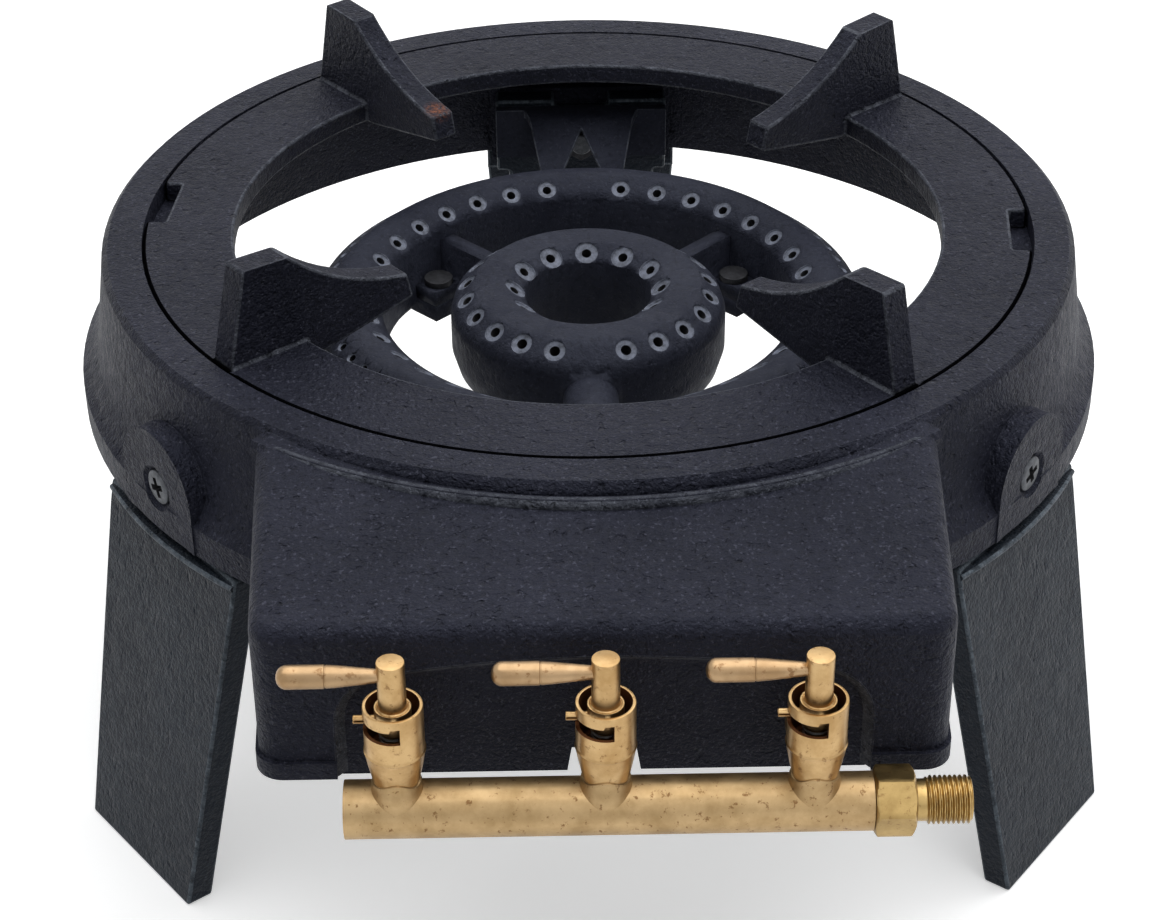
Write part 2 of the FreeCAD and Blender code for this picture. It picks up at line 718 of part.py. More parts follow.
# ---------------------------------------------------------------------------------------
# Legs with their screws and nuts
# ---------------------------------------------------------------------------------------
def make_leg(label, azimuth):
    """A splayed plate whose step carries the skirt and whose tenon is screwed inside it."""
    leg = body(label, azimuth - 90)
    shelf = skirt_bottom - S.shelf_thick
    fall = skirt_bottom - ZERO
    slope = S.leg_splay / fall
    skew = S.leg_thick * root(1 + slope * slope)

    def side(sketch):
        outline(sketch, [
            (seat_face, skirt_bottom),
            (seat_face, skirt_bottom + S.tenon_height),
            (tenon_back, skirt_bottom + S.tenon_height),
            (tenon_back, shelf),
            (leg_face + slope * S.shelf_thick - skew, shelf),
            (foot_face - skew, ZERO),
            (foot_face, ZERO),
            (leg_face, skirt_bottom),
        ])

    extrude(leg, "side", side, S.leg_width, "YZ_Plane", midplane=True)

    def trim(sketch):
        wide, foot, tenon = S.leg_width / 2, S.leg_foot_width / 2, S.tenon_width / 2
        top = skirt_bottom + S.tenon_height
        outline(sketch, [
            (wide + 5, -ONE),
            (foot, -ONE),
            (foot, ZERO),
            (wide, shelf),
            (wide, skirt_bottom),
            (tenon, skirt_bottom),
            (tenon, top + 1),
            (wide + 5, top + 1),
        ])

    cheek = extrude(leg, "cheek", trim, foot_face + 20, "XZ_Plane", cut=True, back=False)

    def shelf_end(sketch):
        wide, half = S.leg_width / 2 + 5, S.shelf_width / 2
        outline(sketch, [
            (half, tenon_back - 5),
            (wide, tenon_back - 5),
            (wide, leg_face - skew),
            (half, leg_face - skew),
        ])

    end = extrude(leg, "shelf_end", shelf_end, S.shelf_thick + 1, offset=(0, 0, skirt_bottom),
                  cut=True)
    mirror(leg, "cheeks", [cheek, end])

    def notch(sketch):
        half = S.tenon_notch / 2
        top = skirt_bottom + S.tenon_height
        outline(sketch, [
            (-half, top - S.tenon_notch_depth),
            (-half, top + 1),
            (half, top + 1),
            (half, top - S.tenon_notch_depth),
        ])

    extrude(leg, "tenon_notch", notch, foot_face + 20, "XZ_Plane", cut=True)
    extrude(leg, "screw_hole",
            lambda sketch: circle(sketch, (ZERO, screw_z), S.screw_radius + S.screw_play),
            foot_face + 20, "XZ_Plane", cut=True)


ONE = Size(1, "1")


def radial(azimuth, distance, height):
    """Placement of a fastener on a leg's radius: its own +Z runs outward."""
    turn = FreeCAD.Rotation(V(0, 0, 1), azimuth) * FreeCAD.Rotation(V(0, 1, 0), 90)
    angle = math.radians(azimuth)
    return FreeCAD.Placement(V(distance * math.cos(angle),
                               distance * math.sin(angle) + axis_y.number, height), turn)


def hexagon(flats, height, turn=0.0):
    """An upright hexagonal prism."""
    corner = flats / 2 / math.cos(math.radians(30))
    points = [V(corner * math.cos(math.radians(60 * side + turn)),
                corner * math.sin(math.radians(60 * side + turn)), 0) for side in range(7)]
    return Part.Face(Part.makePolygon(points)).extrude(V(0, 0, height))


def feature(label, shape):
    """A sub-part whose shape is worked out here from the sheet's sizes."""
    made = doc.addObject("Part::Feature", label)
    made.Label = label
    made.Shape = shape
    return made


def screw_shape():
    """Countersunk screw, its head's flat face at z = 0."""
    head, shank = S.screw_head_radius.number, S.screw_radius.number
    cone = Part.makeCone(shank, head, head - shank, V(0, 0, shank - head))
    rod = Part.makeCylinder(shank, S.screw_length.number, V(0, 0, -S.screw_length.number))
    return cone.fuse(rod).removeSplitter()


def nut_shape():
    """Hexagon nut, its outer face at z = 0."""
    height = S.nut_height.number
    bore = S.screw_radius.number + S.fit_play.number
    block = hexagon(S.nut_flats.number, height)
    block.translate(V(0, 0, -height))
    return block.cut(Part.makeCylinder(bore, height + 2, V(0, 0, -height - 1)))


def make_leg_fasteners():
    """The three leg screws and their nuts, one node each."""
    screws, nuts = [], []
    for azimuth in (FRONT_LEFT.number, FRONT_RIGHT.number, REAR.number):
        screw = screw_shape()
        screw.Placement = radial(azimuth, boss_face.number, screw_z.number)
        screws.append(screw)
        seat = tenon_back.number - (S.bracket_thick.number if azimuth == REAR.number else 0)
        nut = nut_shape()
        nut.Placement = radial(azimuth, seat, screw_z.number)
        nuts.append(nut)
    feature("leg_screws", Part.makeCompound(screws))
    feature("leg_nuts", Part.makeCompound(nuts))


# ---------------------------------------------------------------------------------------
# Rear bracket under the ring burner
# ---------------------------------------------------------------------------------------
lug_top = crest_z - S.ring_bevel_drop - 5
lug_bottom = lug_top - S.lug_height


def make_bracket():
    """Flange behind the rear tenon, with a tapering ramp down to the burner's lug."""
    bracket = body("rear_bracket")
    face = tenon_back - S.bracket_thick
    top = screw_z + 10.5
    foot_front = S.ring_outer + 4
    foot_back = foot_front + S.ramp_foot
    landing = face - S.ramp_landing

    def flange(sketch):
        outline(sketch, [
            (-S.bracket_half, screw_z - 9),
            (-S.bracket_half, top),
            (S.bracket_half, top),
            (S.bracket_half, screw_z - 9),
        ])

    extrude(bracket, "flange", flange, S.bracket_thick, "XZ_Plane", (0, 0, -face), back=True)

    def ramp(sketch):
        outline(sketch, [
            (face, top - S.ramp_thick),
            (face, top),
            (landing, top),
            (foot_back, lug_bottom),
            (foot_front, lug_bottom),
            (foot_front, lug_bottom - S.ramp_thick),
            (foot_back - 2, lug_bottom - S.ramp_thick),
            (landing - 2, top - S.ramp_thick),
        ])

    extrude(bracket, "ramp", ramp, S.ramp_half_back * 2, "YZ_Plane", midplane=True)

    def cheek(sketch):
        outline(sketch, [
            (S.ramp_half_back, face),
            (S.ramp_half_front, foot_front - 1),
            (S.ramp_half_back + 5, foot_front - 1),
            (S.ramp_half_back + 5, face),
        ])

    side = extrude(bracket, "ramp_side", cheek, S.rim_height, offset=(0, 0, S.rim_height),
                   cut=True)
    mirror(bracket, "ramp_sides", [side])

    def window(sketch):
        outline(sketch, [
            (ZERO, landing - 3),
            (-(S.ramp_half_front - 4), foot_back + 2),
            (S.ramp_half_front - 4, foot_back + 2),
        ])

    extrude(bracket, "ramp_window", window, S.rim_height, offset=(0, 0, S.rim_height), cut=True)
    extrude(bracket, "flange_hole",
            lambda sketch: circle(sketch, (ZERO, screw_z), S.screw_radius + S.screw_play),
            S.bracket_thick + 2, "XZ_Plane", (0, 0, -face + 1), cut=True)


# ---------------------------------------------------------------------------------------
# Lift-off pan support
# ---------------------------------------------------------------------------------------
def make_pan_support():
    """Flat ring with two lifting notches and four prongs that hold a round-bottomed wok."""
    plate = body("pan_support", S.plate_turn)
    top = S.rim_height
    under = top - S.plate_thick
    revolve(plate, "ring", [
        (S.plate_opening, under),
        (S.plate_radius, under),
        (S.plate_radius, top),
        (S.plate_opening, top),
    ])

    crown_back = S.plate_radius - S.prong_lean
    crown_front = crown_back - S.prong_crown
    tip = S.prong_tip_radius
    tip_top = top + S.prong_tip_height
    crown_z = top + S.prong_height
    through = ((crown_front + tip) / 2 - 1.5, (crown_z + tip_top) / 2 - 5.5)

    def fin(sketch):
        outline(sketch, [
            (S.plate_radius - 1, under + 1),
            (S.plate_radius - 1, top),
            (crown_back, crown_z),
            (crown_front, crown_z - 1),
            ("arc", through, (tip + 1, tip_top)),
            (tip - 1, top),
            (S.plate_opening - 3, under),
            (S.plate_opening + 2, under),
            (S.plate_opening + 2, under + 1),
        ])

    prong = extrude(plate, "prong", fin, S.prong_thick, "XZ_Plane", midplane=True,
                    rotation=FreeCAD.Rotation(V(0, 1, 0), 45))
    count = int(S.prong_count.number)
    pattern(plate, "prongs", prong, count, 360)

    def lift(sketch):
        half = S.notch_width / 2
        outline(sketch, [
            (S.plate_radius - S.notch_depth, -half),
            (S.plate_radius + 3, -half),
            (S.plate_radius + 3, half),
            (S.plate_radius - S.notch_depth, half),
        ])

    notch = extrude(plate, "lifting_notch", lift, S.plate_thick + 2, offset=(0, 0, top + 1),
                    cut=True)
    pattern(plate, "lifting_notches", notch, 2, 360)


# ---------------------------------------------------------------------------------------
# Burners
# ---------------------------------------------------------------------------------------
def six_sided(sketch, radius):
    """A small port's mouth: so many repeat that each is drawn with six sides."""
    points = [Size(60.0 * side, repr(60.0 * side)) for side in range(6)]
    outline(sketch, [(radius * cosine(point), radius * sine(point)) for point in points])


def ports(burner, name, middle, lean, radius, pitches, blank, gap_azimuth):
    """Drills a row of ports square to a bevel, leaving one pitch blank at `gap_azimuth`."""
    pitch = 360.0 / pitches
    azimuth = gap_azimuth + (pitch if blank else 0)
    angle = Size(azimuth, repr(float(azimuth)))
    offset = (middle[0] * cosine(angle), middle[0] * sine(angle), middle[1])
    drilled = extrude(burner, name, lambda sketch: six_sided(sketch, radius),
                      S.port_depth, offset=offset, cut=True, rotation=tilted(azimuth, lean))
    count = pitches - 1 if blank else pitches
    return pattern(burner, name + "_row", drilled, count, 360.0 if not blank
                   else 360.0 - 2 * pitch)


def mixing_tube(burner, name, place, end):
    """Cast tube with a bell mouth, along Y at x = `place`, ending at distance `end`."""
    mouth, neck = -mouth_y, -(mouth_y - S.bell_length)
    wall = S.tube_radius - S.tube_bore
    bore_end = -(end + 12)
    tube = revolve(burner, name, [
        (mouth, S.bell_radius - wall),
        (mouth, S.bell_radius),
        (mouth + 4, S.bell_radius),
        (neck, S.tube_radius),
        (-end, S.tube_radius),
        (-end, ZERO),
        (bore_end, ZERO),
        (bore_end, S.tube_bore),
        (neck, S.tube_bore),
    ], plane="YZ_Plane", offset=(0, jet_z, place), axis="H_Axis")
    return tube


def tube_rest(casting):
    """Bar across the box with a saddle for each mixing tube."""
    saddle = S.tube_radius + S.rest_play
    front = rim_radius + S.rest_back + S.rest_width
    foot = jet_z - S.tube_radius - S.rest_height / 2

    def bar(sketch):
        half = (S.box_half_front + S.box_half_back) / 2 - S.box_wall / 2
        outline(sketch, [
            (-half, foot),
            (-half, foot + S.rest_height),
            (half, foot + S.rest_height),
            (half, foot),
        ])

    def saddles(sketch):
        for place in (-S.tap_pitch, ZERO, S.tap_pitch):
            circle(sketch, (place, jet_z), saddle)

    extrude(casting, "tube_rest", bar, S.rest_width, "XZ_Plane", (0, 0, front), back=True)
    extrude(casting, "tube_saddles", saddles, S.rest_width + 2, "XZ_Plane", (0, 0, front + 1),
            cut=True)


def make_ring_burner():
    """Large ring with a bevel of ports on each side of its crest and two mixing tubes."""
    burner = body("ring_burner")
    bevel = crest_z - S.ring_bevel_drop
    middle = (S.ring_outer + S.ring_inner) / 2 + 0.5
    crest_in, crest_out = middle - S.ring_crest / 2, middle + S.ring_crest / 2
    revolve(burner, "ring", [
        (crest_in, crest_z),
        (S.ring_inner, bevel),
        (S.ring_inner, ring_bottom + 4),
        (S.ring_inner + 3, ring_bottom),
        (S.ring_outer - 4, ring_bottom),
        (S.ring_outer, ring_bottom + 6),
        (S.ring_outer, bevel),
        (crest_out, crest_z),
    ])
    for name, place in (("tube_left", -S.tap_pitch), ("tube_right", S.tap_pitch)):
        mixing_tube(burner, name, place, S.ring_inner - 7)

    def lug(sketch):
        outline(sketch, [
            (S.ring_outer - 3, lug_bottom),
            (S.ring_outer + S.lug_reach, lug_bottom),
            (S.ring_outer + S.lug_reach, lug_top),
            (S.ring_outer - 3, lug_top),
        ])

    extrude(burner, "rear_lug", lug, S.lug_half * 2, "YZ_Plane", midplane=True)

    def seat(sketch):
        outline(sketch, [
            (S.ring_inner - S.seat_reach, -arm_side),
            (S.ring_inner + 2, -arm_side),
            (S.ring_inner + 2, S.arm_thick / 2 + 2),
            (S.ring_inner - S.seat_reach, S.arm_thick / 2 + 2),
        ])

    right_seat = extrude(burner, "arm_seat", seat, S.seat_height, offset=(0, 0, ring_bottom),
                         rotation=FreeCAD.Rotation(V(0, 0, 1), ARM_AZIMUTH))
    mirror(burner, "arm_seats", [right_seat])

    def tunnel(sketch):
        half = S.tube_radius + S.tunnel_play
        outline(sketch, [
            (-half, ring_bottom - 1),
            (-half, jet_z),
            half_round((ZERO, jet_z), half),
            (half, ring_bottom - 1),
        ])

    extrude(burner, "tunnel", tunnel, S.ring_outer + 4, "XZ_Plane",
            (0, 0, S.ring_outer + 4), cut=True)
    arm_hole = arm_screw_offset(ring_bottom - 1)
    hole = extrude(burner, "seat_hole",
                   lambda sketch: circle(sketch, (ZERO, ZERO), S.arm_screw_radius + 0.1),
                   S.seat_height + 2, offset=arm_hole, cut=True, back=True)
    mirror(burner, "seat_holes", [hole])

    rise = S.ring_bevel_drop.number
    inner_run = crest_in.number - S.ring_inner.number
    outer_run = S.ring_outer.number - crest_out.number
    ports(burner, "inner_port", ((crest_in + S.ring_inner) / 2, crest_z - S.ring_bevel_drop / 2),
          -math.degrees(math.atan2(rise, inner_run)), S.port_radius,
          int(S.ring_ports.number), True, 90.0)
    ports(burner, "outer_port", ((crest_out + S.ring_outer) / 2, crest_z - S.ring_bevel_drop / 2),
          math.degrees(math.atan2(rise, outer_run)), S.outer_port_radius,
          int(S.ring_outer_ports.number), True, 90.0)


ARM_AZIMUTH = 45.0
arm_side = S.arm_thick / 2 + 14


def arm_screw_offset(height):
    """Place of the right-hand arm's screw, beside the arm on its seat."""
    along = S.ring_inner - 6.8
    aside = S.arm_thick / 2 + 7.5
    swing = Size(ARM_AZIMUTH, repr(ARM_AZIMUTH))
    return (along * cosine(swing) + aside * sine(swing),
            along * sine(swing) - aside * cosine(swing), height)


def make_centre_burner():
    """Small ring burner with an open middle, a forward neck and two arms at the back."""
    burner = body("centre_burner")
    bottom = crest_z - S.centre_height
    outer_edge = S.centre_outer - 1.5
    revolve(burner, "ring", [
        (S.centre_crest_out, crest_z),
        (S.centre_crest_in, crest_z),
        (S.centre_hole, crest_z - 4.5),
        (S.centre_hole, bottom),
        (S.centre_outer - 7, bottom),
        (S.centre_outer - 2, bottom + 7),
        (S.centre_outer, bottom + 14),
        (S.centre_outer, crest_z - 10),
        (outer_edge, crest_z - 5.5),
    ])
    mixing_tube(burner, "tube_centre", ZERO, S.centre_hole + 8)

    def arm(sketch):
        low = ring_bottom + S.seat_height
        outline(sketch, [
            (S.centre_outer - 6, crest_z - 8.5),
            (S.centre_outer - 6, low - 4),
            (S.centre_outer + 2, low - 1),
            ("arc", (S.centre_outer + 9, low + 3.5), (S.ring_inner - S.seat_reach, low)),
            (S.ring_inner - S.arm_gap, low),
            (S.ring_inner - S.arm_gap, crest_z - 8.5),
        ])

    def foot(sketch):
        outline(sketch, [
            (S.ring_inner - S.seat_reach, -arm_side),
            (S.ring_inner - 2.4, -arm_side),
            (S.ring_inner - S.arm_gap, ZERO),
            (S.ring_inner - S.seat_reach, ZERO),
        ])

    spar = extrude(burner, "arm", arm, S.arm_thick, "XZ_Plane", midplane=True,
                   rotation=FreeCAD.Rotation(V(0, 1, 0), ARM_AZIMUTH))
    pad = extrude(burner, "arm_foot", foot, 5, offset=(0, 0, ring_bottom + S.seat_height),
                  rotation=FreeCAD.Rotation(V(0, 0, 1), ARM_AZIMUTH))
    hole = extrude(burner, "arm_hole",
                   lambda sketch: circle(sketch, (ZERO, ZERO), S.arm_screw_radius + 0.1),
                   8, offset=arm_screw_offset(ring_bottom + S.seat_height - 1), cut=True,
                   back=True)
    mirror(burner, "arms", [spar, pad, hole])

    ports(burner, "inner_port", ((S.centre_crest_in + S.centre_hole) / 2, crest_z - 2.25),
          -math.degrees(math.atan2(4.5, (S.centre_crest_in - S.centre_hole).number)),
          S.port_radius, int(S.centre_inner_ports.number), False, 90.0)
    ports(burner, "outer_port", ((S.centre_crest_out + outer_edge) / 2, crest_z - 2.75),
          math.degrees(math.atan2(5.5, (outer_edge - S.centre_crest_out).number)),
          S.port_radius, int(S.centre_ports.number), True, 270.0)


def make_arm_screws():
    """Two pan-head screws that hold the centre burner's arms on their seats."""
    radius = S.arm_screw_radius.number
    x, y, z = [value.number for value in arm_screw_offset(ring_bottom + S.seat_height + 5)]
    screws = []
    for side in (-1, 1):
        place = V(side * x, y + axis_y.number, z)
        shank = Part.makeCylinder(radius, 5 + S.seat_height.number, place, V(0, 0, -1))
        head = Part.makeCylinder(2 * radius, 0.9 * radius, place, V(0, 0, 1))
        screws.append(head.fuse(shank).removeSplitter())
    feature("arm_screws", Part.makeCompound(screws))


# ---------------------------------------------------------------------------------------
# Manifold and gas inlet
# ---------------------------------------------------------------------------------------
tube_left = -(S.tap_pitch + S.manifold_left)
tube_right = S.tap_pitch + S.manifold_right


def make_manifold():
    """Brass tube along X with a hole in its crown for the neck of each tap."""
    tube = body("manifold_tube")
    revolve(tube, "tube", [
        (tube_left, S.manifold_bore),
        (tube_left, S.manifold_radius),
        (tube_right, S.manifold_radius),
        (tube_right, S.manifold_bore),
    ], plane="XZ_Plane", offset=(0, manifold_z, tap_y), axis="H_Axis")

    def necks(sketch):
        for place in (-S.tap_pitch, ZERO, S.tap_pitch):
            circle(sketch, (place, -tap_y), S.neck_radius + S.fit_play)

    extrude(tube, "neck_holes", necks, S.manifold_radius + 1,
            offset=(0, 0, manifold_z + S.manifold_radius + 1), cut=True)


def make_end_plug():
    """Disc that closes the manifold's left end."""
    plug = body("manifold_plug")
    revolve(plug, "disc", [
        (tube_left, ZERO),
        (tube_left, S.manifold_bore - S.fit_play),
        (tube_left + 4, S.manifold_bore - S.fit_play),
        (tube_left + 4, ZERO),
    ], plane="XZ_Plane", offset=(0, manifold_z, tap_y), axis="H_Axis")


def make_inlet():
    """Hexagon with a spigot in the manifold and a male gas thread outside."""
    inlet = body("gas_inlet")
    face = tube_right + S.inlet_length
    thread = face + S.inlet_neck
    end = thread + S.thread_length
    corner = inlet_corner

    def hexagonal(sketch):
        steps = []
        for side in range(6):
            angle = 30 + S.inlet_turn + 60 * side
            steps.append((-tap_y + corner * sine(angle), manifold_z + corner * cosine(angle)))
        outline(sketch, steps)

    extrude(inlet, "hexagon", hexagonal, S.inlet_length, "YZ_Plane", (0, 0, tube_right))
    revolve(inlet, "spigot_and_thread", [
        (tube_right - 8, S.inlet_bore),
        (tube_right - 8, S.manifold_bore - S.fit_play),
        (tube_right + 1, S.manifold_bore - S.fit_play),
        (tube_right + 1, S.inlet_neck_radius),
        (thread, S.inlet_neck_radius),
        (thread, S.thread_radius),
        (end, S.thread_radius),
        (end, S.inlet_bore),
    ], plane="XZ_Plane", offset=(0, manifold_z, tap_y), axis="H_Axis")
    revolve(inlet, "bore", [
        (tube_right - 9, ZERO),
        (tube_right - 9, S.inlet_bore),
        (end + 1, S.inlet_bore),
        (end + 1, ZERO),
    ], plane="XZ_Plane", offset=(0, manifold_z, tap_y), axis="H_Axis", cut=True)


# ---------------------------------------------------------------------------------------
# Taps. Heights are above the manifold's axis.
# ---------------------------------------------------------------------------------------
TAPS = (("left", -S.tap_pitch), ("centre", ZERO), ("right", S.tap_pitch))
pin_swing = math.degrees(math.asin(S.pin_radius.number / S.barrel_radius.number)) + 1.5


def tap_body(label, place):
    """A body whose own Z axis is the tap's axis, with z = 0 at the manifold's axis."""
    made = body(label, move=(place, -tap_y))
    made.setExpression("Placement.Base.z", manifold_z.text)
    return made


def make_tap_housing(side, place):
    """Barrel with a slotted window, tapered seat, neck into the manifold and spout."""
    housing = tap_body("tap_body_" + side, place)
    seat_foot = S.seat_top - S.plug_length - 0.2
    barrel_bottom = S.seat_top + 1
    revolve(housing, "barrel", [
        (S.barrel_bore, S.barrel_top),
        (S.barrel_bore, S.seat_top),
        (S.plug_top_radius + S.fit_play, S.seat_top),
        (S.plug_foot_radius + S.fit_play, seat_foot),
        (S.spout_bore, seat_foot),
        (S.spout_bore, S.waist_bottom - S.neck_reach),
        (S.neck_radius, S.waist_bottom - S.neck_reach),
        (S.neck_radius, S.waist_bottom),
        (S.waist_radius, S.waist_bottom),
        (S.waist_radius, barrel_bottom),
        (S.barrel_radius, barrel_bottom),
        (S.barrel_radius, S.barrel_top),
    ])
    to_panel = tap_y - panel_face
    spout_tip = tap_y - panel_back + S.spout_end
    start = S.plug_top_radius + 0.7
    revolve(housing, "spout", [
        (start, ZERO),
        (start, S.spout_radius),
        (to_panel - S.collar_length, S.spout_radius),
        (to_panel - S.collar_length, S.collar_radius),
        (to_panel, S.collar_radius),
        (to_panel, S.spout_radius),
        (spout_tip, S.spout_radius),
        (spout_tip, ZERO),
    ], plane="YZ_Plane", offset=(0, S.jet_height, 0), axis="H_Axis")
    extrude(housing, "spout_bore",
            lambda sketch: circle(sketch, (ZERO, S.jet_height), S.spout_bore),
            spout_tip + 1, "XZ_Plane", cut=True)

    slot_top = S.pin_height + S.pin_radius + S.slot_play
    slot_low = S.pin_height - S.pin_radius - S.push_travel - S.slot_play
    deep = S.barrel_bore - 0.5
    proud = S.barrel_radius + 0.5
    for name, low, high, start_at, sweep in (
            ("slot", slot_low, slot_top, -pin_swing, S.turn_range + 2 * pin_swing),
            ("off_step", slot_top - 1, slot_top + S.slot_step, -pin_swing,
             Size.of(2 * pin_swing)),
            ("on_step", slot_top - 1, slot_top + S.slot_step, S.turn_range.number - pin_swing,
             Size.of(2 * pin_swing))):
        revolve(housing, name, [
            (-deep, low),
            (-proud, low),
            (-proud, high),
            (-deep, high),
        ], angle=sweep, cut=True, rotation=FreeCAD.Rotation(V(0, 1, 0), start_at))


def make_tap_plug(side, place):
    """Tapered plug: gas comes up its bore and leaves by a side port."""
    plug = tap_body("tap_plug_" + side, place)
    foot = S.seat_top - S.plug_length
    slot_floor = S.tongue_bottom - S.push_travel - 0.2
    revolve(plug, "taper", [
        (ZERO, S.seat_top),
        (S.plug_top_radius, S.seat_top),
        (S.plug_foot_radius, foot),
        (ZERO, foot),
    ])
    extrude(plug, "bore", lambda sketch: circle(sketch, (ZERO, ZERO), Size.of(2.2)),
            S.jet_height + 2 - foot, offset=(0, 0, foot), cut=True, back=True)
    extrude(plug, "port", lambda sketch: circle(sketch, (ZERO, S.jet_height), S.spout_bore),
            S.plug_top_radius + 1, "YZ_Plane", cut=True, back=True)

    def slot(sketch):
        half = S.tongue_thick / 2 + 0.1
        outline(sketch, [
            (-half, slot_floor),
            (-half, S.seat_top + 1),
            (half, S.seat_top + 1),
            (half, slot_floor),
        ])

    extrude(plug, "tongue_slot", slot, 2 * S.tongue_half + 0.4, "XZ_Plane", cut=True,
            midplane=True)


def make_tap_stem(side, place):
    """Stem with a drum for the stop pin and a tongue that turns the plug."""
    stem = tap_body("tap_stem_" + side, place)
    drum_top = S.barrel_top - S.drum_sink
    spigot = S.spring_radius - S.spring_wire / 2 - 0.6
    revolve(stem, "shaft", [
        (ZERO, S.stem_top),
        (S.stem_radius, S.stem_top),
        (S.stem_radius, drum_top),
        (S.drum_radius, drum_top),
        (S.drum_radius, S.drum_bottom),
        (spigot, S.drum_bottom),
        (spigot, S.seat_top + S.push_travel + 0.4),
        (ZERO, S.seat_top + S.push_travel + 0.4),
    ])

    def tongue(sketch):
        outline(sketch, [
            (-S.tongue_thick / 2, -S.tongue_half),
            (S.tongue_thick / 2, -S.tongue_half),
            (S.tongue_thick / 2, S.tongue_half),
            (-S.tongue_thick / 2, S.tongue_half),
        ])

    extrude(stem, "tongue", tongue, S.seat_top + S.push_travel + 1 - S.tongue_bottom,
            offset=(0, 0, S.tongue_bottom))
    extrude(stem, "pin_hole",
            lambda sketch: circle(sketch, (ZERO, S.pin_height), S.pin_radius + S.fit_play),
            S.drum_radius + 1, "YZ_Plane", (0, 0, -(S.drum_radius + 1)), cut=True, back=True)
    extrude(stem, "handle_hole",
            lambda sketch: circle(sketch, (ZERO, S.handle_height), S.handle_root + S.fit_play),
            S.stem_radius + 2.2, "YZ_Plane", (0, 0, -(S.stem_radius + 1)), cut=True, back=True)


def make_tap_pin(side, place):
    """Stop pin: rides in the barrel's slot and keeps the stem in."""
    pin = tap_body("tap_pin_" + side, place)
    revolve(pin, "pin", [
        (-(S.barrel_radius + S.pin_reach), ZERO),
        (-(S.barrel_radius + S.pin_reach), S.pin_radius),
        (ZERO - 0.4, S.pin_radius),
        (ZERO - 0.4, ZERO),
    ], plane="XZ_Plane", offset=(0, S.pin_height, 0), axis="H_Axis")


def make_tap_handle(side, place):
    """Turned lever: a neck that swells to a grip with a bevelled end."""
    handle = tap_body("tap_handle_" + side, place)
    bevel = S.handle_radius * 0.4
    end = -S.handle_reach
    shoulder = -(S.stem_radius + 0.15)
    revolve(handle, "lever", [
        (ONE, ZERO),
        (ONE, S.handle_root),
        (shoulder, S.handle_root),
        (shoulder, S.handle_neck),
        ((end + shoulder) / 2, S.handle_radius),
        (end + bevel, S.handle_radius),
        (end, S.handle_radius - bevel),
        (end, ZERO),
    ], plane="XZ_Plane", offset=(0, S.handle_height, 0), axis="H_Axis")


def make_tap_spring(side, place):
    """Closed sleeve that fills the room of the coil between the plug and the drum."""
    spring = tap_body("tap_spring_" + side, place)
    wire = S.spring_wire / 2
    low, high = S.seat_top + S.spring_play, S.drum_bottom - S.spring_play
    revolve(spring, "sleeve", [
        (S.spring_radius - wire, low),
        (S.spring_radius + wire, low),
        (S.spring_radius + wire, high),
        (S.spring_radius - wire, high),
    ])


def make_jets():
    """Hexagon jets screwed on the spouts behind the panel, one node."""
    flats, length, nose = S.jet_flats.number, S.jet_length.number, S.jet_nose.number
    bore = S.spout_radius.number + S.fit_play.number
    spout_end = S.spout_end.number
    jets = []
    for _, place in TAPS:
        block = hexagon(flats, length)
        block = block.fuse(Part.makeCone(flats / 2 - 1, 2.2, nose, V(0, 0, length)))
        block = block.cut(Part.makeCylinder(bore, spout_end + 0.2, V(0, 0, -0.1)))
        block.Placement = FreeCAD.Placement(
            V(place.number, axis_y.number - panel_back.number, jet_z.number),
            FreeCAD.Rotation(V(1, 0, 0), -90))
        jets.append(block)
    feature("jets", Part.makeCompound(jets))


# ---------------------------------------------------------------------------------------
# Build, check and write
# ---------------------------------------------------------------------------------------
def build():
    make_casting()
    for label, azimuth in (("leg_front_left", FRONT_LEFT), ("leg_front_right", FRONT_RIGHT),
                           ("leg_rear", REAR)):
        make_leg(label, azimuth)
    make_leg_fasteners()
    make_bracket()
    make_pan_support()
    make_ring_burner()
    make_centre_burner()
    make_arm_screws()
    make_manifold()
    make_end_plug()
    make_inlet()
    make_jets()
    for side, place in TAPS:
        make_tap_housing(side, place)
        make_tap_plug(side, place)
        make_tap_stem(side, place)
        make_tap_pin(side, place)
        make_tap_handle(side, place)
        make_tap_spring(side, place)
    doc.recompute()


def sub_parts():
    """Every object that is a node of its own."""
    return [item for item in doc.Objects
            if item.TypeId in ("PartDesign::Body", "Part::Feature")]


def check():
    """Stops with a list of every object that failed."""
    faults = []
    for item in doc.Objects:
        if "Invalid" in item.State or "Error" in item.State:
            faults.append(f"{item.Label}: {item.State}")
    for item in sub_parts():
        if item.Shape.isNull() or not item.Shape.isValid():
            faults.append(f"{item.Label}: shape is null or not valid")
        elif not item.Shape.Solids:
            faults.append(f"{item.Label}: no solid")
    if faults:
        raise RuntimeError("; ".join(faults))


build()
check()
os.makedirs("parts", exist_ok=True)
for item in sub_parts():
    item.Shape.exportStep(os.path.join("parts", item.Label + ".step"))
    print(f"{item.Label}: {len(item.Shape.Solids)} solid(s), {item.Shape.Volume:.0f} mm3")
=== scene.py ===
"""Looks of the cast-iron wok range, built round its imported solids. Lengths are millimetres in
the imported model's frame; `MM` turns them into Blender's metres. Material coordinates are metres.
Azimuths run anticlockwise from +X as seen from above, so 270 degrees is the front."""
import bpy
import bmesh
import math
from mathutils import Matrix, Vector


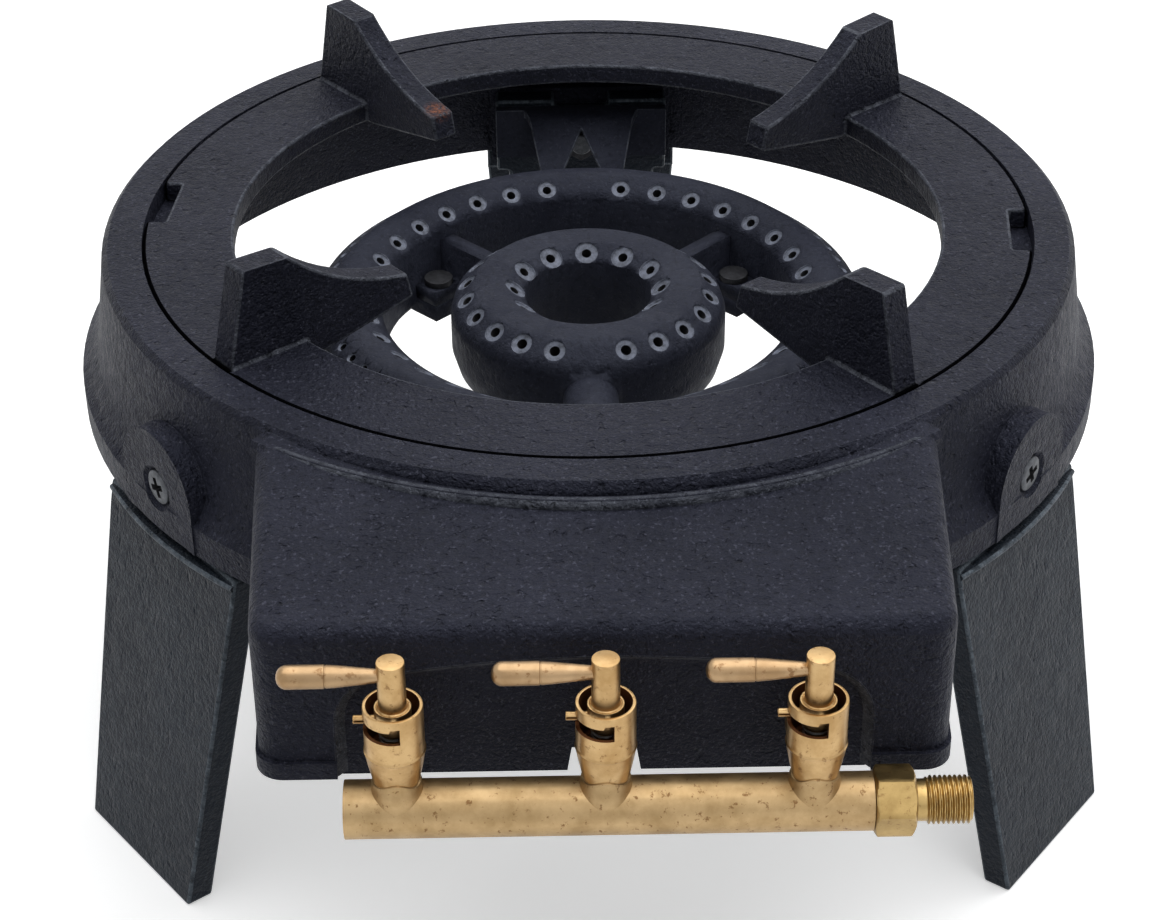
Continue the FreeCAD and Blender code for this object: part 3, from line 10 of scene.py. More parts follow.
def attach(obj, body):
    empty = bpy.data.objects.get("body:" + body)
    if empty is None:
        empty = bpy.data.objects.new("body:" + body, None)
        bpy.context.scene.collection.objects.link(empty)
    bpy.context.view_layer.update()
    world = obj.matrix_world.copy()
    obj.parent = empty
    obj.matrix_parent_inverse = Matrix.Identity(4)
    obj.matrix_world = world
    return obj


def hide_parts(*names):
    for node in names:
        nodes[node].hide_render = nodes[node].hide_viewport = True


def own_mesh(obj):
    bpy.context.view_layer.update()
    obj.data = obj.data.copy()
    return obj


MM = 0.001
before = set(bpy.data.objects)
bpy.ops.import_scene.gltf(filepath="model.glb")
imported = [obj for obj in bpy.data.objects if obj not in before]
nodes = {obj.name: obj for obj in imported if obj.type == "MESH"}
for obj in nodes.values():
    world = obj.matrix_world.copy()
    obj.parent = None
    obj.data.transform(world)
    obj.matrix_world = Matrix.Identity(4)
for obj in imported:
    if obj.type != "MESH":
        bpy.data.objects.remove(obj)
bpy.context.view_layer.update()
scene = bpy.context.scene

AXIS_Y = 24.8039                        # axis of the round casting
# The gap round the pan support is painted as a near-black shadow ring on the edges beside it.
GAP_SHADE_RADIUS = 0.14475                          # metres: radius of the gap round the pan support
RUST_SPOT = (-0.0508, 0.0868, 0.1815)   # metres: tip of the rear left prong
LEG_AZIMUTHS = {"left": 217.5, "right": 322.5, "rear": 90.0}
BOSS_RADIUS, SCREW_Z = 167.4, 136.5     # the legs' screws: face they sink into, height
BOX_FACE_Y = AXIS_Y - 213.0
PANEL_Y = AXIS_Y - 209.5                # floor of the arched recess in the box's face
BOX_FOOT_Z = 115.55
TAP_Y = -204.1961                       # the taps' row, and the manifold's axis
TAP_X = {"left": -55.4, "centre": 0.0, "right": 55.4}
PIPE_Z, PIPE_RADIUS = 117.6, 8.0
TAP_SHUT, TAP_OPEN = 180, 275           # azimuths of the stop pin
SHARP = 32.0                            # degrees: edges that turn further stay hard
EDGE_ANGLE = 38.0                       # degrees: CAD edges that turn further are rounded
UP = Vector((0, 0, 1))
SQUARE = ((-1, -1), (1, -1), (1, 1), (-1, 1))


# --------------------------------------------------------------------------- materials
def rgba(*colour):
    return (*colour, 1.0)


def scaled(colour, factor, lift=0.0):
    return [min(1.0, factor * channel + lift) for channel in colour]


class Nodes:
    """Short-hand for the node tree of a new material or world."""

    def __init__(self, owner):
        owner.use_nodes = True
        self.owner = owner
        self.tree = owner.node_tree

    def add(self, kind, inputs=None, **settings):
        node = self.tree.nodes.new(kind)
        for key, value in settings.items():
            setattr(node, key, value)
        for key, value in (inputs or {}).items():
            self.feed(node.inputs[key], value)
        return node

    def feed(self, socket, value):
        if isinstance(value, bpy.types.NodeSocket):
            self.tree.links.new(value, socket)
        else:
            socket.default_value = value

    def fold(self, kind, total, *values):
        for value in values:
            total = self.add("ShaderNodeMath", {0: total, 1: value}, operation=kind).outputs[0]
        return total

    def seen(self):
        """1 for rays that show a surface to the eye, 0 for rays that only carry light."""
        path = self.add("ShaderNodeLightPath").outputs
        return self.fold("MAXIMUM", path["Is Camera Ray"], path["Is Glossy Ray"],
                         path["Is Transmission Ray"])


class Surface(Nodes):
    """A material's nodes; its patterns sit in object coordinates."""

    def __init__(self, name):
        super().__init__(bpy.data.materials.new(name))
        self.shader = self.tree.nodes["Principled BSDF"]
        self.place = self.tree.nodes.new("ShaderNodeTexCoord").outputs["Object"]

    def noise(self, scale, detail=3.0, rough=0.6, vector=None):
        return self.add("ShaderNodeTexNoise", {
            "Vector": vector or self.place, "Scale": scale, "Detail": detail,
            "Roughness": rough}).outputs["Fac"]

    def stretched(self, factors):
        return self.add("ShaderNodeVectorMath", {0: self.place, 1: factors},
                        operation="MULTIPLY").outputs[0]

    def distance(self, vector, point):
        return self.add("ShaderNodeVectorMath", {0: vector, 1: point},
                        operation="DISTANCE").outputs["Value"]

    def ramp(self, value, *stops):
        node = self.add("ShaderNodeValToRGB", {"Fac": value})
        for element, (position, colour) in zip(node.color_ramp.elements, stops):
            element.position = position
            element.color = rgba(*colour)
        return node.outputs["Color"]

    def grey(self, value, low, high, from_low=0.3, from_high=0.7):
        return self.add("ShaderNodeMapRange", {
            "Value": value, "From Min": from_low, "From Max": from_high,
            "To Min": low, "To Max": high}).outputs["Result"]

    def mix(self, amount, first, second):
        return self.add("ShaderNodeMix", {0: amount, 6: first, 7: second},
                        data_type="RGBA").outputs[2]

    def bump(self, height, strength, distance, under=None):
        inputs = {"Height": height, "Strength": strength, "Distance": distance}
        if under is not None:
            inputs["Normal"] = under
        return self.add("ShaderNodeBump", inputs).outputs["Normal"]

    def set(self, **inputs):
        for key, value in inputs.items():
            self.feed(self.shader.inputs[key.replace("_", " ")], value)
        return self.owner


def cast_iron(name, dark, light, speck=0.5, rough=(0.42, 0.60), grain=1.0, worn=0.0, rust=None,
              shine=0.13, streak=None, gap_shade_radius=None):
    """Oiled sand-cast iron: blotchy tone, sandy grain with bright specks, pits. `rust` is the
    place of a stain, and the last argument the radius of a painted shadow ring about the casting's
    axis: near black and without shine, where the gap round the pan support lies in shade."""
    n = Surface(name)
    base = n.ramp(n.noise(24.0, 5.0, 0.65), (0.34, dark), (0.66, light))
    sand = n.noise(520.0, 3.0, 0.6)
    fine = n.noise(1300.0, 2.0, 0.5)
    wave = n.noise(48.0, 3.0, 0.5)
    hollows = n.grey(sand, 0.55, 0.0, 0.32, 0.50)
    base = n.mix(hollows, base, rgba(*scaled(dark, 0.35)))
    specks = n.grey(n.noise(860.0, 2.0, 0.6), 0.0, speck, 0.60, 0.68)
    base = n.mix(specks, base, rgba(*scaled(light, 3.0, 0.030)))
    if worn:
        rub = n.grey(n.noise(190.0, 4.0, 0.7), 0.0, worn, 0.42, 0.60)
        base = n.mix(rub, base, rgba(*scaled(light, 3.0, 0.040)))
    if rust:
        near = n.grey(n.distance(n.place, rust), 1.0, 0.0, 0.0015, 0.0052)
        patchy = n.grey(n.noise(900.0, 3.0), 0.0, 1.0, 0.40, 0.60)
        base = n.mix(n.fold("MULTIPLY", near, patchy), base, rgba(0.20, 0.075, 0.04))
    # Painted shadow: near black and without shine along the gap round the pan support.
    if gap_shade_radius:
        reach = n.distance(n.stretched((1.0, 1.0, 0.0)), (0.0, AXIS_Y * MM, 0.0))
        off = n.add("ShaderNodeMath", {0: n.fold("SUBTRACT", reach, gap_shade_radius)},
                    operation="ABSOLUTE").outputs[0]
        gap = n.grey(off, 1.0, 0.0, 0.0011, 0.0020)
        base = n.mix(gap, base, rgba(0.0015, 0.0015, 0.0020))
        shine = n.grey(gap, shine, 0.0, 0.0, 1.0)
    pits = n.noise(330.0, 2.0, 0.6, n.stretched(streak)) if streak else n.noise(300.0, 2.0, 0.6)
    normal = n.bump(wave, 0.6, 0.0022)
    normal = n.bump(n.grey(pits, 0.0, 1.0, 0.27, 0.40), 0.75 * grain, 0.0010, normal)
    normal = n.bump(n.fold("ADD", sand, n.fold("MULTIPLY", fine, 0.5)), grain, 0.0011, normal)
    return n.set(Base_Color=base, Roughness=n.grey(n.noise(260.0, 4.0), *rough), Normal=normal,
                 Specular_IOR_Level=shine, Specular_Tint=rgba(0.74, 0.80, 1.0))


def machined(name, colour, rough):
    """Bright-cut iron: cloudy tone over fine grain."""
    n = Surface(name)
    base = n.ramp(n.noise(420.0, 4.0, 0.7), (0.36, scaled(colour, 0.4)), (0.60, colour))
    return n.set(Base_Color=base, Roughness=n.grey(n.noise(300.0), rough, rough + 0.2),
                 Normal=n.bump(n.noise(1500.0, 2.0), 0.3, 0.0002), Metallic=0.2,
                 Specular_IOR_Level=0.4)


def brass(name, light, dark, stain=0.5, rough=(0.24, 0.42), lines=(1.0, 1.0, 1.0)):
    """Satin brass: drawn lines, cloudy tone, brown specks and stains."""
    n = Surface(name)
    base = n.ramp(n.noise(95.0, 5.0, 0.65), (0.36, dark), (0.60, light))
    spots = n.grey(n.noise(430.0, 3.0, 0.7), 0.0, stain, 0.60, 0.68)
    base = n.mix(spots, base, rgba(0.16, 0.075, 0.028))
    smear = n.grey(n.noise(60.0, 3.0, 0.6, n.stretched(lines)), 0.0, stain * 0.55, 0.52, 0.72)
    base = n.mix(smear, base, rgba(*scaled(dark, 0.62)))
    drawn = n.noise(900.0, 3.0, 0.7, n.stretched(lines))
    normal = n.bump(drawn, 0.18, 0.00015)
    normal = n.bump(n.noise(420.0, 4.0, 0.7), 0.20, 0.0002, normal)
    return n.set(Base_Color=base, Metallic=1.0, Normal=normal,
                 Roughness=n.grey(n.noise(210.0, 4.0), *rough))


def steel(name, colour, rough):
    """Plated steel, finely mottled."""
    n = Surface(name)
    base = n.ramp(n.noise(600.0, 4.0, 0.7), (0.32, scaled(colour, 0.45)), (0.68, colour))
    return n.set(Base_Color=base, Metallic=0.85,
                 Roughness=n.grey(n.noise(500.0), rough, rough + 0.2),
                 Normal=n.bump(n.noise(1300.0), 0.25, 0.0002))


# The edge materials go on rounded edges and are two to five times paler than their faces: partly
# worn edges, partly a painted highlight.
BODY = cast_iron("iron_body", (0.0104, 0.0112, 0.0184), (0.0204, 0.0216, 0.0334))
BODY_EDGE_WEAR_HIGHLIGHT = cast_iron("iron_body_edge_wear_highlight", (0.024, 0.026, 0.035), (0.042, 0.046, 0.057), worn=0.3,
                      gap_shade_radius=GAP_SHADE_RADIUS)
PLATE = cast_iron("iron_plate", (0.0086, 0.0092, 0.0156), (0.0172, 0.0182, 0.0284),
                  rust=RUST_SPOT)
PLATE_EDGE_WEAR_HIGHLIGHT = cast_iron("iron_plate_edge_wear_highlight", (0.026, 0.028, 0.037), (0.046, 0.050, 0.062), worn=0.3,
                       rust=RUST_SPOT, gap_shade_radius=GAP_SHADE_RADIUS)
LEG = cast_iron("iron_leg", (0.0062, 0.0090, 0.0130), (0.0150, 0.0205, 0.0275), speck=0.3,
                rough=(0.38, 0.54), grain=0.75, shine=0.17, streak=(1.0, 1.0, 0.45))
LEG_EDGE_WEAR_HIGHLIGHT = cast_iron("iron_leg_edge_wear_highlight", (0.040, 0.050, 0.060), (0.072, 0.088, 0.104),
                     rough=(0.36, 0.52), worn=0.4, shine=0.2)
BURNER = cast_iron("iron_burner", (0.0150, 0.0165, 0.0260), (0.0275, 0.0300, 0.0430),
                   speck=0.15, rough=(0.50, 0.68), grain=0.35)
BURNER_EDGE_WEAR_HIGHLIGHT = cast_iron("iron_burner_edge_wear_highlight", (0.030, 0.034, 0.045), (0.052, 0.058, 0.074),
                        speck=0.3, grain=0.45, worn=0.4)
PORT_FLAT = machined("port_flat", (0.150, 0.166, 0.215), 0.55)
# Near-black bores: painted shade inside the burners' ports and the screws' cross recesses.
PORT_HOLE_SHADE = machined("port_hole_painted_shade", (0.003, 0.003, 0.005), 0.8)
BRASS = brass("brass_body", (0.53, 0.358, 0.172), (0.38, 0.235, 0.098), stain=0.6,
              lines=(1.0, 1.0, 0.15), rough=(0.28, 0.42))
BRASS_TUBE = brass("brass_tube", (0.47, 0.330, 0.172), (0.34, 0.228, 0.108), stain=0.85,
                   lines=(0.06, 1.0, 1.0), rough=(0.40, 0.54))
BRASS_BRIGHT = brass("brass_bright", (0.44, 0.305, 0.124), (0.31, 0.205, 0.078), stain=0.5,
                     rough=(0.28, 0.42))
BRASS_PINK = brass("brass_lever", (0.40, 0.270, 0.150), (0.30, 0.190, 0.096), stain=0.7,
                   rough=(0.30, 0.42))
# Dark brass for the barrel's bore and the slot's cut faces: painted shade inside the tap.
BRASS_INSIDE_SHADE = brass("brass_inside_painted_shade", (0.15, 0.062, 0.026), (0.075, 0.030, 0.014), stain=0.8,
                   rough=(0.45, 0.65))
STEEL = steel("steel_screw", (0.105, 0.112, 0.125), 0.42)
STEEL_DARK = steel("steel_nut", (0.045, 0.046, 0.052), 0.5)
SPRING = steel("steel_spring", (0.42, 0.42, 0.42), 0.28)


# --------------------------------------------------------------------------- mesh helpers
def outward(azimuth):
    return Vector((math.cos(azimuth), math.sin(azimuth), 0))


def polar(radius, angle, height):
    return Vector((radius * math.cos(angle), radius * math.sin(angle), height))


def along(origin, direction):
    """Placement whose local Z runs along `direction`."""
    turn = Vector(direction).to_track_quat("Z", "Y").to_matrix().to_4x4()
    return Matrix.Translation(Vector(origin)) @ turn


def mark_sharp(bm, degrees):
    """Smooth shading, apart from open edges and those that turn by more than `degrees`."""
    limit = math.radians(degrees)
    for face in bm.faces:
        face.smooth = True
    for edge in bm.edges:
        edge.smooth = len(edge.link_faces) == 2 and edge.calc_face_angle(0.0) <= limit


def add_piece(name, bm, materials, body=None):
    """Puts a bmesh in metres into the scene; with a body, it rides on it."""
    mesh = bpy.data.meshes.new(name)
    bm.to_mesh(mesh)
    bm.free()
    for material in materials:
        mesh.materials.append(material)
    piece = bpy.data.objects.new(name, mesh)
    scene.collection.objects.link(piece)
    if body:
        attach(piece, body)
    return piece


def finish_mesh(name, bm, materials, body=None, sharp=SHARP):
    """Turns a bmesh in millimetres into a piece of the scene."""
    for vertex in bm.verts:
        vertex.co *= MM
    bmesh.ops.recalc_face_normals(bm, faces=bm.faces)
    mark_sharp(bm, sharp)
    return add_piece(name, bm, materials, body)


def softened(points, steps=3):
    """A closed outline (x, y, rounding) with its corners rounded."""
    made = []
    count = len(points)
    for index, (x, y, radius) in enumerate(points):
        here = Vector((x, y))
        if radius <= 0:
            made.append((x, y))
            continue
        before = Vector(points[index - 1][:2]) - here
        after = Vector(points[(index + 1) % count][:2]) - here
        half = before.angle(after) / 2
        run = min(radius / math.tan(half), 0.48 * before.length, 0.48 * after.length)
        start, end = here + before.normalized() * run, here + after.normalized() * run
        for step in range(steps + 1):
            t = step / steps
            point = (1 - t) ** 2 * start + 2 * t * (1 - t) * here + t * t * end
            made.append((point.x, point.y))
    return made


def turned(bm, profile, place, segments, closed=True, shape=None, material=None):
    """Revolves (radius, height) points about the local Z of `place`. `shape` may change a
    radius by its height and turn, and `material` gives a strip's slot from its middle."""
    rings = []
    for radius, height in profile:
        if radius <= 1e-6:
            rings.append([bm.verts.new(place @ Vector((0, 0, height)))])
            continue
        ring = []
        for step in range(segments):
            angle = 2 * math.pi * step / segments
            reach = shape(radius, height, angle) if shape else radius
            ring.append(bm.verts.new(place @ polar(reach, angle, height)))
        rings.append(ring)
    following = rings[1:] + rings[:1] if closed else rings[1:]
    for number, (first, second) in enumerate(zip(rings, following)):
        if len(first) == 1 and len(second) == 1:
            continue
        here, there = profile[number], profile[(number + 1) % len(profile)]
        index = material((here[0] + there[0]) / 2, (here[1] + there[1]) / 2) if material else 0
        for step in range(segments):
            after = (step + 1) % segments
            if len(first) == 1:
                corners = [first[0], second[step], second[after]]
            elif len(second) == 1:
                corners = [first[step], first[after], second[0]]
            else:
                corners = [first[step], first[after], second[after], second[step]]
            bm.faces.new(corners).material_index = index


def skin(bm, sections, index=lambda k: 0, capped=True):
    """Joins closed cross-sections that follow each other. `index` gives a strip's material
    slot by its place round the section."""
    for first, second in zip(sections, sections[1:]):
        for k in range(len(first)):
            after = (k + 1) % len(first)
            face = bm.faces.new([first[k], first[after], second[after], second[k]])
            face.material_index = index(k)
    if capped:
        bm.faces.new(sections[0])
        bm.faces.new(sections[-1][::-1])


def round_section(bm, centre, out, radius, count):
    """Ring of vertices in the upright plane through `out`."""
    angles = [2 * math.pi * k / count for k in range(count)]
    return [bm.verts.new(centre + (out * math.cos(angle) + UP * math.sin(angle)) * radius)
            for angle in angles]


def paint(bm, index):
    for face in bm.faces:
        face.material_index = index


def subtract(piece, name, cutter):
    """Modifier that takes a cutter out of a piece and brings its materials to the cut."""
    tool = piece.modifiers.new(name, "BOOLEAN")
    tool.operation, tool.object, tool.solver = "DIFFERENCE", cutter, "EXACT"
    tool.material_mode = "TRANSFER"
    return tool


def cut(piece, cutter):
    """Takes a cutter out of a piece for good, and out of the scene."""
    tool = subtract(piece, "cut", cutter)
    bpy.context.view_layer.update()
    result = bpy.data.meshes.new_from_object(
        piece.evaluated_get(bpy.context.evaluated_depsgraph_get()))
    piece.modifiers.remove(tool)
    piece.data = result
    bpy.data.objects.remove(cutter)


def dress(node, materials, width=0.0, steps=2, cutter=None, flatten=True, clamp=True):
    """Materials for a CAD node, its ports cut and its edges rounded by modifiers. `width` is
    that of the rounding, `flatten` first dissolves the flat faces' inner edges, and `clamp`
    keeps roundings from running into each other."""
    part = nodes[node]
    part.data.materials.clear()
    for material in materials:
        part.data.materials.append(material)
    weld = part.modifiers.new("weld", "WELD")
    weld.merge_threshold = 2e-6
    if cutter:
        subtract(part, "ports", cutter)
    if width and flatten:
        flat = part.modifiers.new("flat", "DECIMATE")
        flat.decimate_type = "DISSOLVE"
        flat.angle_limit = math.radians(0.6)
    if width:
        bevel = part.modifiers.new("edge", "BEVEL")
        bevel.width = width * MM
        bevel.segments = steps
        bevel.limit_method = "ANGLE"
        bevel.angle_limit = math.radians(EDGE_ANGLE)
        bevel.use_clamp_overlap = clamp
        bevel.miter_outer = "MITER_ARC"
        # Rounded edges take the second, paler material: partly wear, partly a painted highlight.
        bevel.material = 1 if len(materials) > 1 else -1
    shade = part.modifiers.new("shade", "WEIGHTED_NORMAL")
    shade.keep_sharp = False
    for face in part.data.polygons:
        face.use_smooth = True
        face.material_index = 0


# --------------------------------------------------------------------------- CAD nodes
def drill_row(bm, pitches, blanks, first, radius, height, lean, flat, bore):
    """One row of ports in a cutter: spot faces of radius `flat` round bores of radius `bore`.
    `lean` tips them outward from upright; `blanks` are the pitches without a port."""
    profile = [(0, 6.0), (flat, 6.0), (flat, -0.45), (flat - 0.15, -0.60), (bore + 0.10, -0.60),
               (bore, -1.0), (bore, -5.2), (0, -5.6)]
    tip = math.radians(lean)
    for index in range(pitches):
        if index in blanks:
            continue
        out = outward(math.radians(first + 360.0 * index / pitches))
        middle = Vector((0, AXIS_Y, height)) + out * radius
        # Bore walls take the second slot, the painted shade.
        turned(bm, profile, along(middle, out * math.sin(tip) + UP * math.cos(tip)), 20,
               closed=False, material=lambda reach, depth: int(depth < -0.7))


def port_cutter(name, *rows):
    bm = bmesh.new()
    for row in rows:
        drill_row(bm, **row)
    cutter = finish_mesh(name, bm, [PORT_FLAT, PORT_HOLE_SHADE])
    cutter.hide_render = True
    return cutter


def slope(rise, run):
    return math.degrees(math.atan2(rise, run))


ring_ports = port_cutter(
    "ring_port_tool",
    dict(pitches=35, blanks={0}, first=90.0, radius=73.5, height=145.0, lean=-slope(6, 9),
         flat=3.35, bore=1.45),
    dict(pitches=70, blanks={0}, first=90.0, radius=87.0, height=145.0, lean=slope(6, 8),
         flat=1.85, bore=1.15))
centre_ports = port_cutter(
    "centre_port_tool",
    dict(pitches=12, blanks=set(), first=90.0, radius=24.25, height=145.75,
         lean=-slope(4.5, 6.5), flat=4.0, bore=1.55),
    dict(pitches=22, blanks={0}, first=270.0, radius=41.0, height=145.25, lean=slope(5.5, 7.0),
         flat=3.6, bore=1.65))

dress("cast_body", [BODY, BODY_EDGE_WEAR_HIGHLIGHT], width=0.9)
dress("pan_support", [PLATE, PLATE_EDGE_WEAR_HIGHLIGHT], width=0.9, steps=3, flatten=False, clamp=False)
for leg in ("leg_front_left", "leg_front_right", "leg_rear"):
    dress(leg, [LEG, LEG_EDGE_WEAR_HIGHLIGHT], width=1.0, steps=3, clamp=False)
dress("rear_bracket", [BURNER, BURNER_EDGE_WEAR_HIGHLIGHT], width=0.6)
dress("ring_burner", [BURNER, BURNER_EDGE_WEAR_HIGHLIGHT], cutter=ring_ports)
dress("centre_burner", [BURNER, BURNER_EDGE_WEAR_HIGHLIGHT], cutter=centre_ports)
dress("arm_screws", [STEEL_DARK], width=0.25)
dress("leg_nuts", [STEEL_DARK], width=0.4)
dress("manifold_tube", [BRASS_TUBE], width=0.5, steps=3)
dress("manifold_plug", [BRASS_TUBE], width=0.3)
dress("jets", [BRASS], width=0.3)
for side in TAP_X:
    dress("tap_plug_" + side, [BRASS])


# --------------------------------------------------------------------------- castings' trim
def bead():
    """Round bead where the rim meets the top of the box, thinning out at its ends."""
    bm = bmesh.new()
    half, steps = math.asin(96.0 / 158.0), 96
    sections = []
    for step in range(steps + 1):
        angle = -half + 2 * half * step / steps
        fade = min(1.0, (half - abs(angle)) / 0.05)
        radius = 2.35 * math.sqrt(max(0.02, 1 - (1 - fade) ** 2))
        out = outward(angle - math.pi / 2)
        centre = Vector((0, AXIS_Y, 168.75)) + out * 162.0
        sections.append(round_section(bm, centre, out, radius, 14))
    skin(bm, sections)
    # The whole bead takes the pale edge material: partly wear, partly a painted highlight.
    finish_mesh("rim_bead", bm, [BODY_EDGE_WEAR_HIGHLIGHT], "base")


def arch_points(inset):
    """The arched recess's outline, `inset` inside its wall, from left foot to right foot."""
    half, corner = 72.5 - inset, 17.0 - inset
    shoulder, crown = 150.5 - inset, 155.0 - inset
    span, rise = half - corner, crown - shoulder
    radius = (span * span + rise * rise) / (2 * rise)
    points = [(-half, BOX_FOOT_Z), (-half, shoulder - corner)]
    for step in range(1, 9):
        angle = math.pi - step * math.pi / 16
        points.append((-span + corner * math.cos(angle),
                       shoulder - corner + corner * math.sin(angle)))
    for step in range(1, 16):
        x = -span + 2 * span * step / 16
        points.append((x, crown - radius + math.sqrt(radius * radius - x * x)))
    for step in range(9):
        angle = math.pi / 2 - step * math.pi / 16
        points.append((span + corner * math.cos(angle),
                       shoulder - corner + corner * math.sin(angle)))
    points.append((half, BOX_FOOT_Z))
    return points


def arch_slope():
    """Slanted wall of the arched recess, with a soft brow and a soft root. A row is its inset
    and its depth; the last rows lie inside the casting."""
    rows = [(-0.9, BOX_FACE_Y + 0.35), (-0.35, BOX_FACE_Y - 0.06), (0.25, BOX_FACE_Y + 0.25),
            (1.3, BOX_FACE_Y + 1.35), (2.6, BOX_FACE_Y + 2.7), (3.4, PANEL_Y - 0.22),
            (4.6, PANEL_Y + 0.1), (2.0, PANEL_Y + 1.5)]
    bm = bmesh.new()
    lines = [[bm.verts.new((x, depth, z)) for x, z in arch_points(inset)]
             for inset, depth in rows]
    # The brow and the upper slant take the pale edge material: partly wear, partly a painted
    # highlight.
    skin(bm, list(zip(*lines)), lambda k: int(k < 4))
    finish_mesh("arch_slope", bm, [BODY, BODY_EDGE_WEAR_HIGHLIGHT], "base", 60)


def leg_brow(side):
    """Raised lip along a leg's shoulder, a shadow's width below the skirt."""
    out = outward(math.radians(LEG_AZIMUTHS[side]))
    across = Vector((-out.y, out.x, 0))
    half, steps, lip = 35.6, 28, 169.1
    inner, top, foot = 158.5, 118.2, 112.6
    bm = bmesh.new()
    sections = []
    for step in range(steps + 1):
        x = -half + 2 * half * step / steps
        reach = math.sqrt(lip ** 2 - x * x)
        profile = ((inner, top), (reach - 0.9, top), (reach - 0.25, 117.95), (reach, 117.3),
                   (reach - 0.25, 116.6), (reach - 1.2, 115.6), (163.4, foot), (inner, foot))
        sections.append([bm.verts.new(Vector((0, AXIS_Y, z)) + out * radius + across * x)
                         for radius, z in profile])
    # The lip's rounded edge takes the pale edge material: partly wear, partly a painted highlight.
    skin(bm, sections, lambda k: int(k in (1, 2, 3)))
    finish_mesh("leg_shoulder_" + side, bm, [LEG, LEG_EDGE_WEAR_HIGHLIGHT], "base", 60)


def leg_screws():
    """Countersunk cross-recess screws, one piece like the node they stand for."""
    profile = [(0, -0.10), (3.5, -0.12), (5.0, -0.28), (5.5, -0.55), (5.7, -1.05), (4.0, -3.2),
               (4.0, -43.0), (3.6, -43.4), (0, -43.4)]
    arm_top, arm_bottom = (1.0, 4.2, 1.15), (-2.6, 1.3, 0.6)    # height, half length, half width
    joined = bmesh.new()
    for azimuth in LEG_AZIMUTHS.values():
        out = outward(math.radians(azimuth))
        place = along(Vector((0, AXIS_Y, SCREW_Z)) + out * BOSS_RADIUS, out)
        bm = bmesh.new()
        turned(bm, profile, place, 40, closed=False)
        screw = finish_mesh("screw", bm, [STEEL, PORT_HOLE_SHADE])
        for turn in (0.35, 0.35 + math.pi / 2):
            bm = bmesh.new()
            local = place @ Matrix.Rotation(turn, 4, "Z")
            ends = [[bm.verts.new(local @ Vector((x * length, y * width, z)))
                     for x, y in SQUARE] for z, length, width in (arm_top, arm_bottom)]
            for end in ends:
                bm.faces.new(end)
            skin(bm, ends, capped=False)
            # The cross recess takes the near-black second material: painted shade.
            paint(bm, 1)
            cut(screw, finish_mesh("cross_tool", bm, [STEEL, PORT_HOLE_SHADE]))
        joined.from_mesh(screw.data)
        bpy.data.objects.remove(screw)
    mark_sharp(joined, SHARP)
    whole = add_piece("leg_screw_heads", joined, [STEEL, PORT_HOLE_SHADE], "base")
    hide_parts("leg_screws")


# --------------------------------------------------------------------------- brass
def slot_tool(place):
    """Cutter for a tap's stepped slot, which reaches higher at both ends."""
    end, steps = 10.0, 40                                       # degrees past the pin's stops
    start, stop = math.radians(TAP_SHUT - end), math.radians(TAP_OPEN + end)
    inner, outer, low = 6.2, 9.2, 28.0
    bm = bmesh.new()
    sections = []
    for step in range(steps + 1):
        angle = start + (stop - start) * step / steps
        turn = math.degrees(angle)
        at_end = turn < TAP_SHUT + end + 0.1 or turn > TAP_OPEN - end - 0.1
        high = 33.0 if at_end else 32.0
        sections.append([bm.verts.new(place @ polar(radius, angle, height)) for radius, height
                         in ((inner, low), (outer, low), (outer, high), (inner, high))])
    skin(bm, sections)
    # The slot's cut faces take the dark second material: painted shade.
    paint(bm, 1)
    return finish_mesh("slot_tool", bm, [BRASS, BRASS_INSIDE_SHADE])


def braze(bm, place, phase):
    """Braze round a tap's root: it clings to the barrel, higher in front, and flows out onto
    the pipe. `phase` varies its wavy upper edge."""
    around, flow, foot, swell = 48, 5, 7.1, 0.55
    beads = ((-0.3, 0.0), (0.3, 0.3), (swell, 1.0))             # off the wall, below the edge
    rows = [[] for _ in range(len(beads) + flow + 1)]
    for step in range(around):
        angle = 2 * math.pi * step / around
        front = math.exp(-((angle - 1.5 * math.pi) / 0.62) ** 2)
        top = 10.6 + 3.0 * front + 0.15 * math.sin(5 * angle + phase)
        wall = 6.0 + (top - 9.6) * 0.203
        pipe = math.sqrt(PIPE_RADIUS ** 2 - (foot * math.sin(angle)) ** 2) - 0.15
        points = [(wall + off, top - down) for off, down in beads]
        for t in [row / flow for row in range(1, flow + 1)]:
            points.append((wall + swell + (foot - wall - swell) * t * t,
                           (top - 1.0) * (1 - t) + pipe * t))
        points.append((4.8, 2.0))                               # hidden in the pipe
        for row, (radius, height) in zip(rows, points):
            row.append(bm.verts.new(place @ polar(radius, angle, height)))
    skin(bm, rows + rows[:1], lambda k: 2, capped=False)


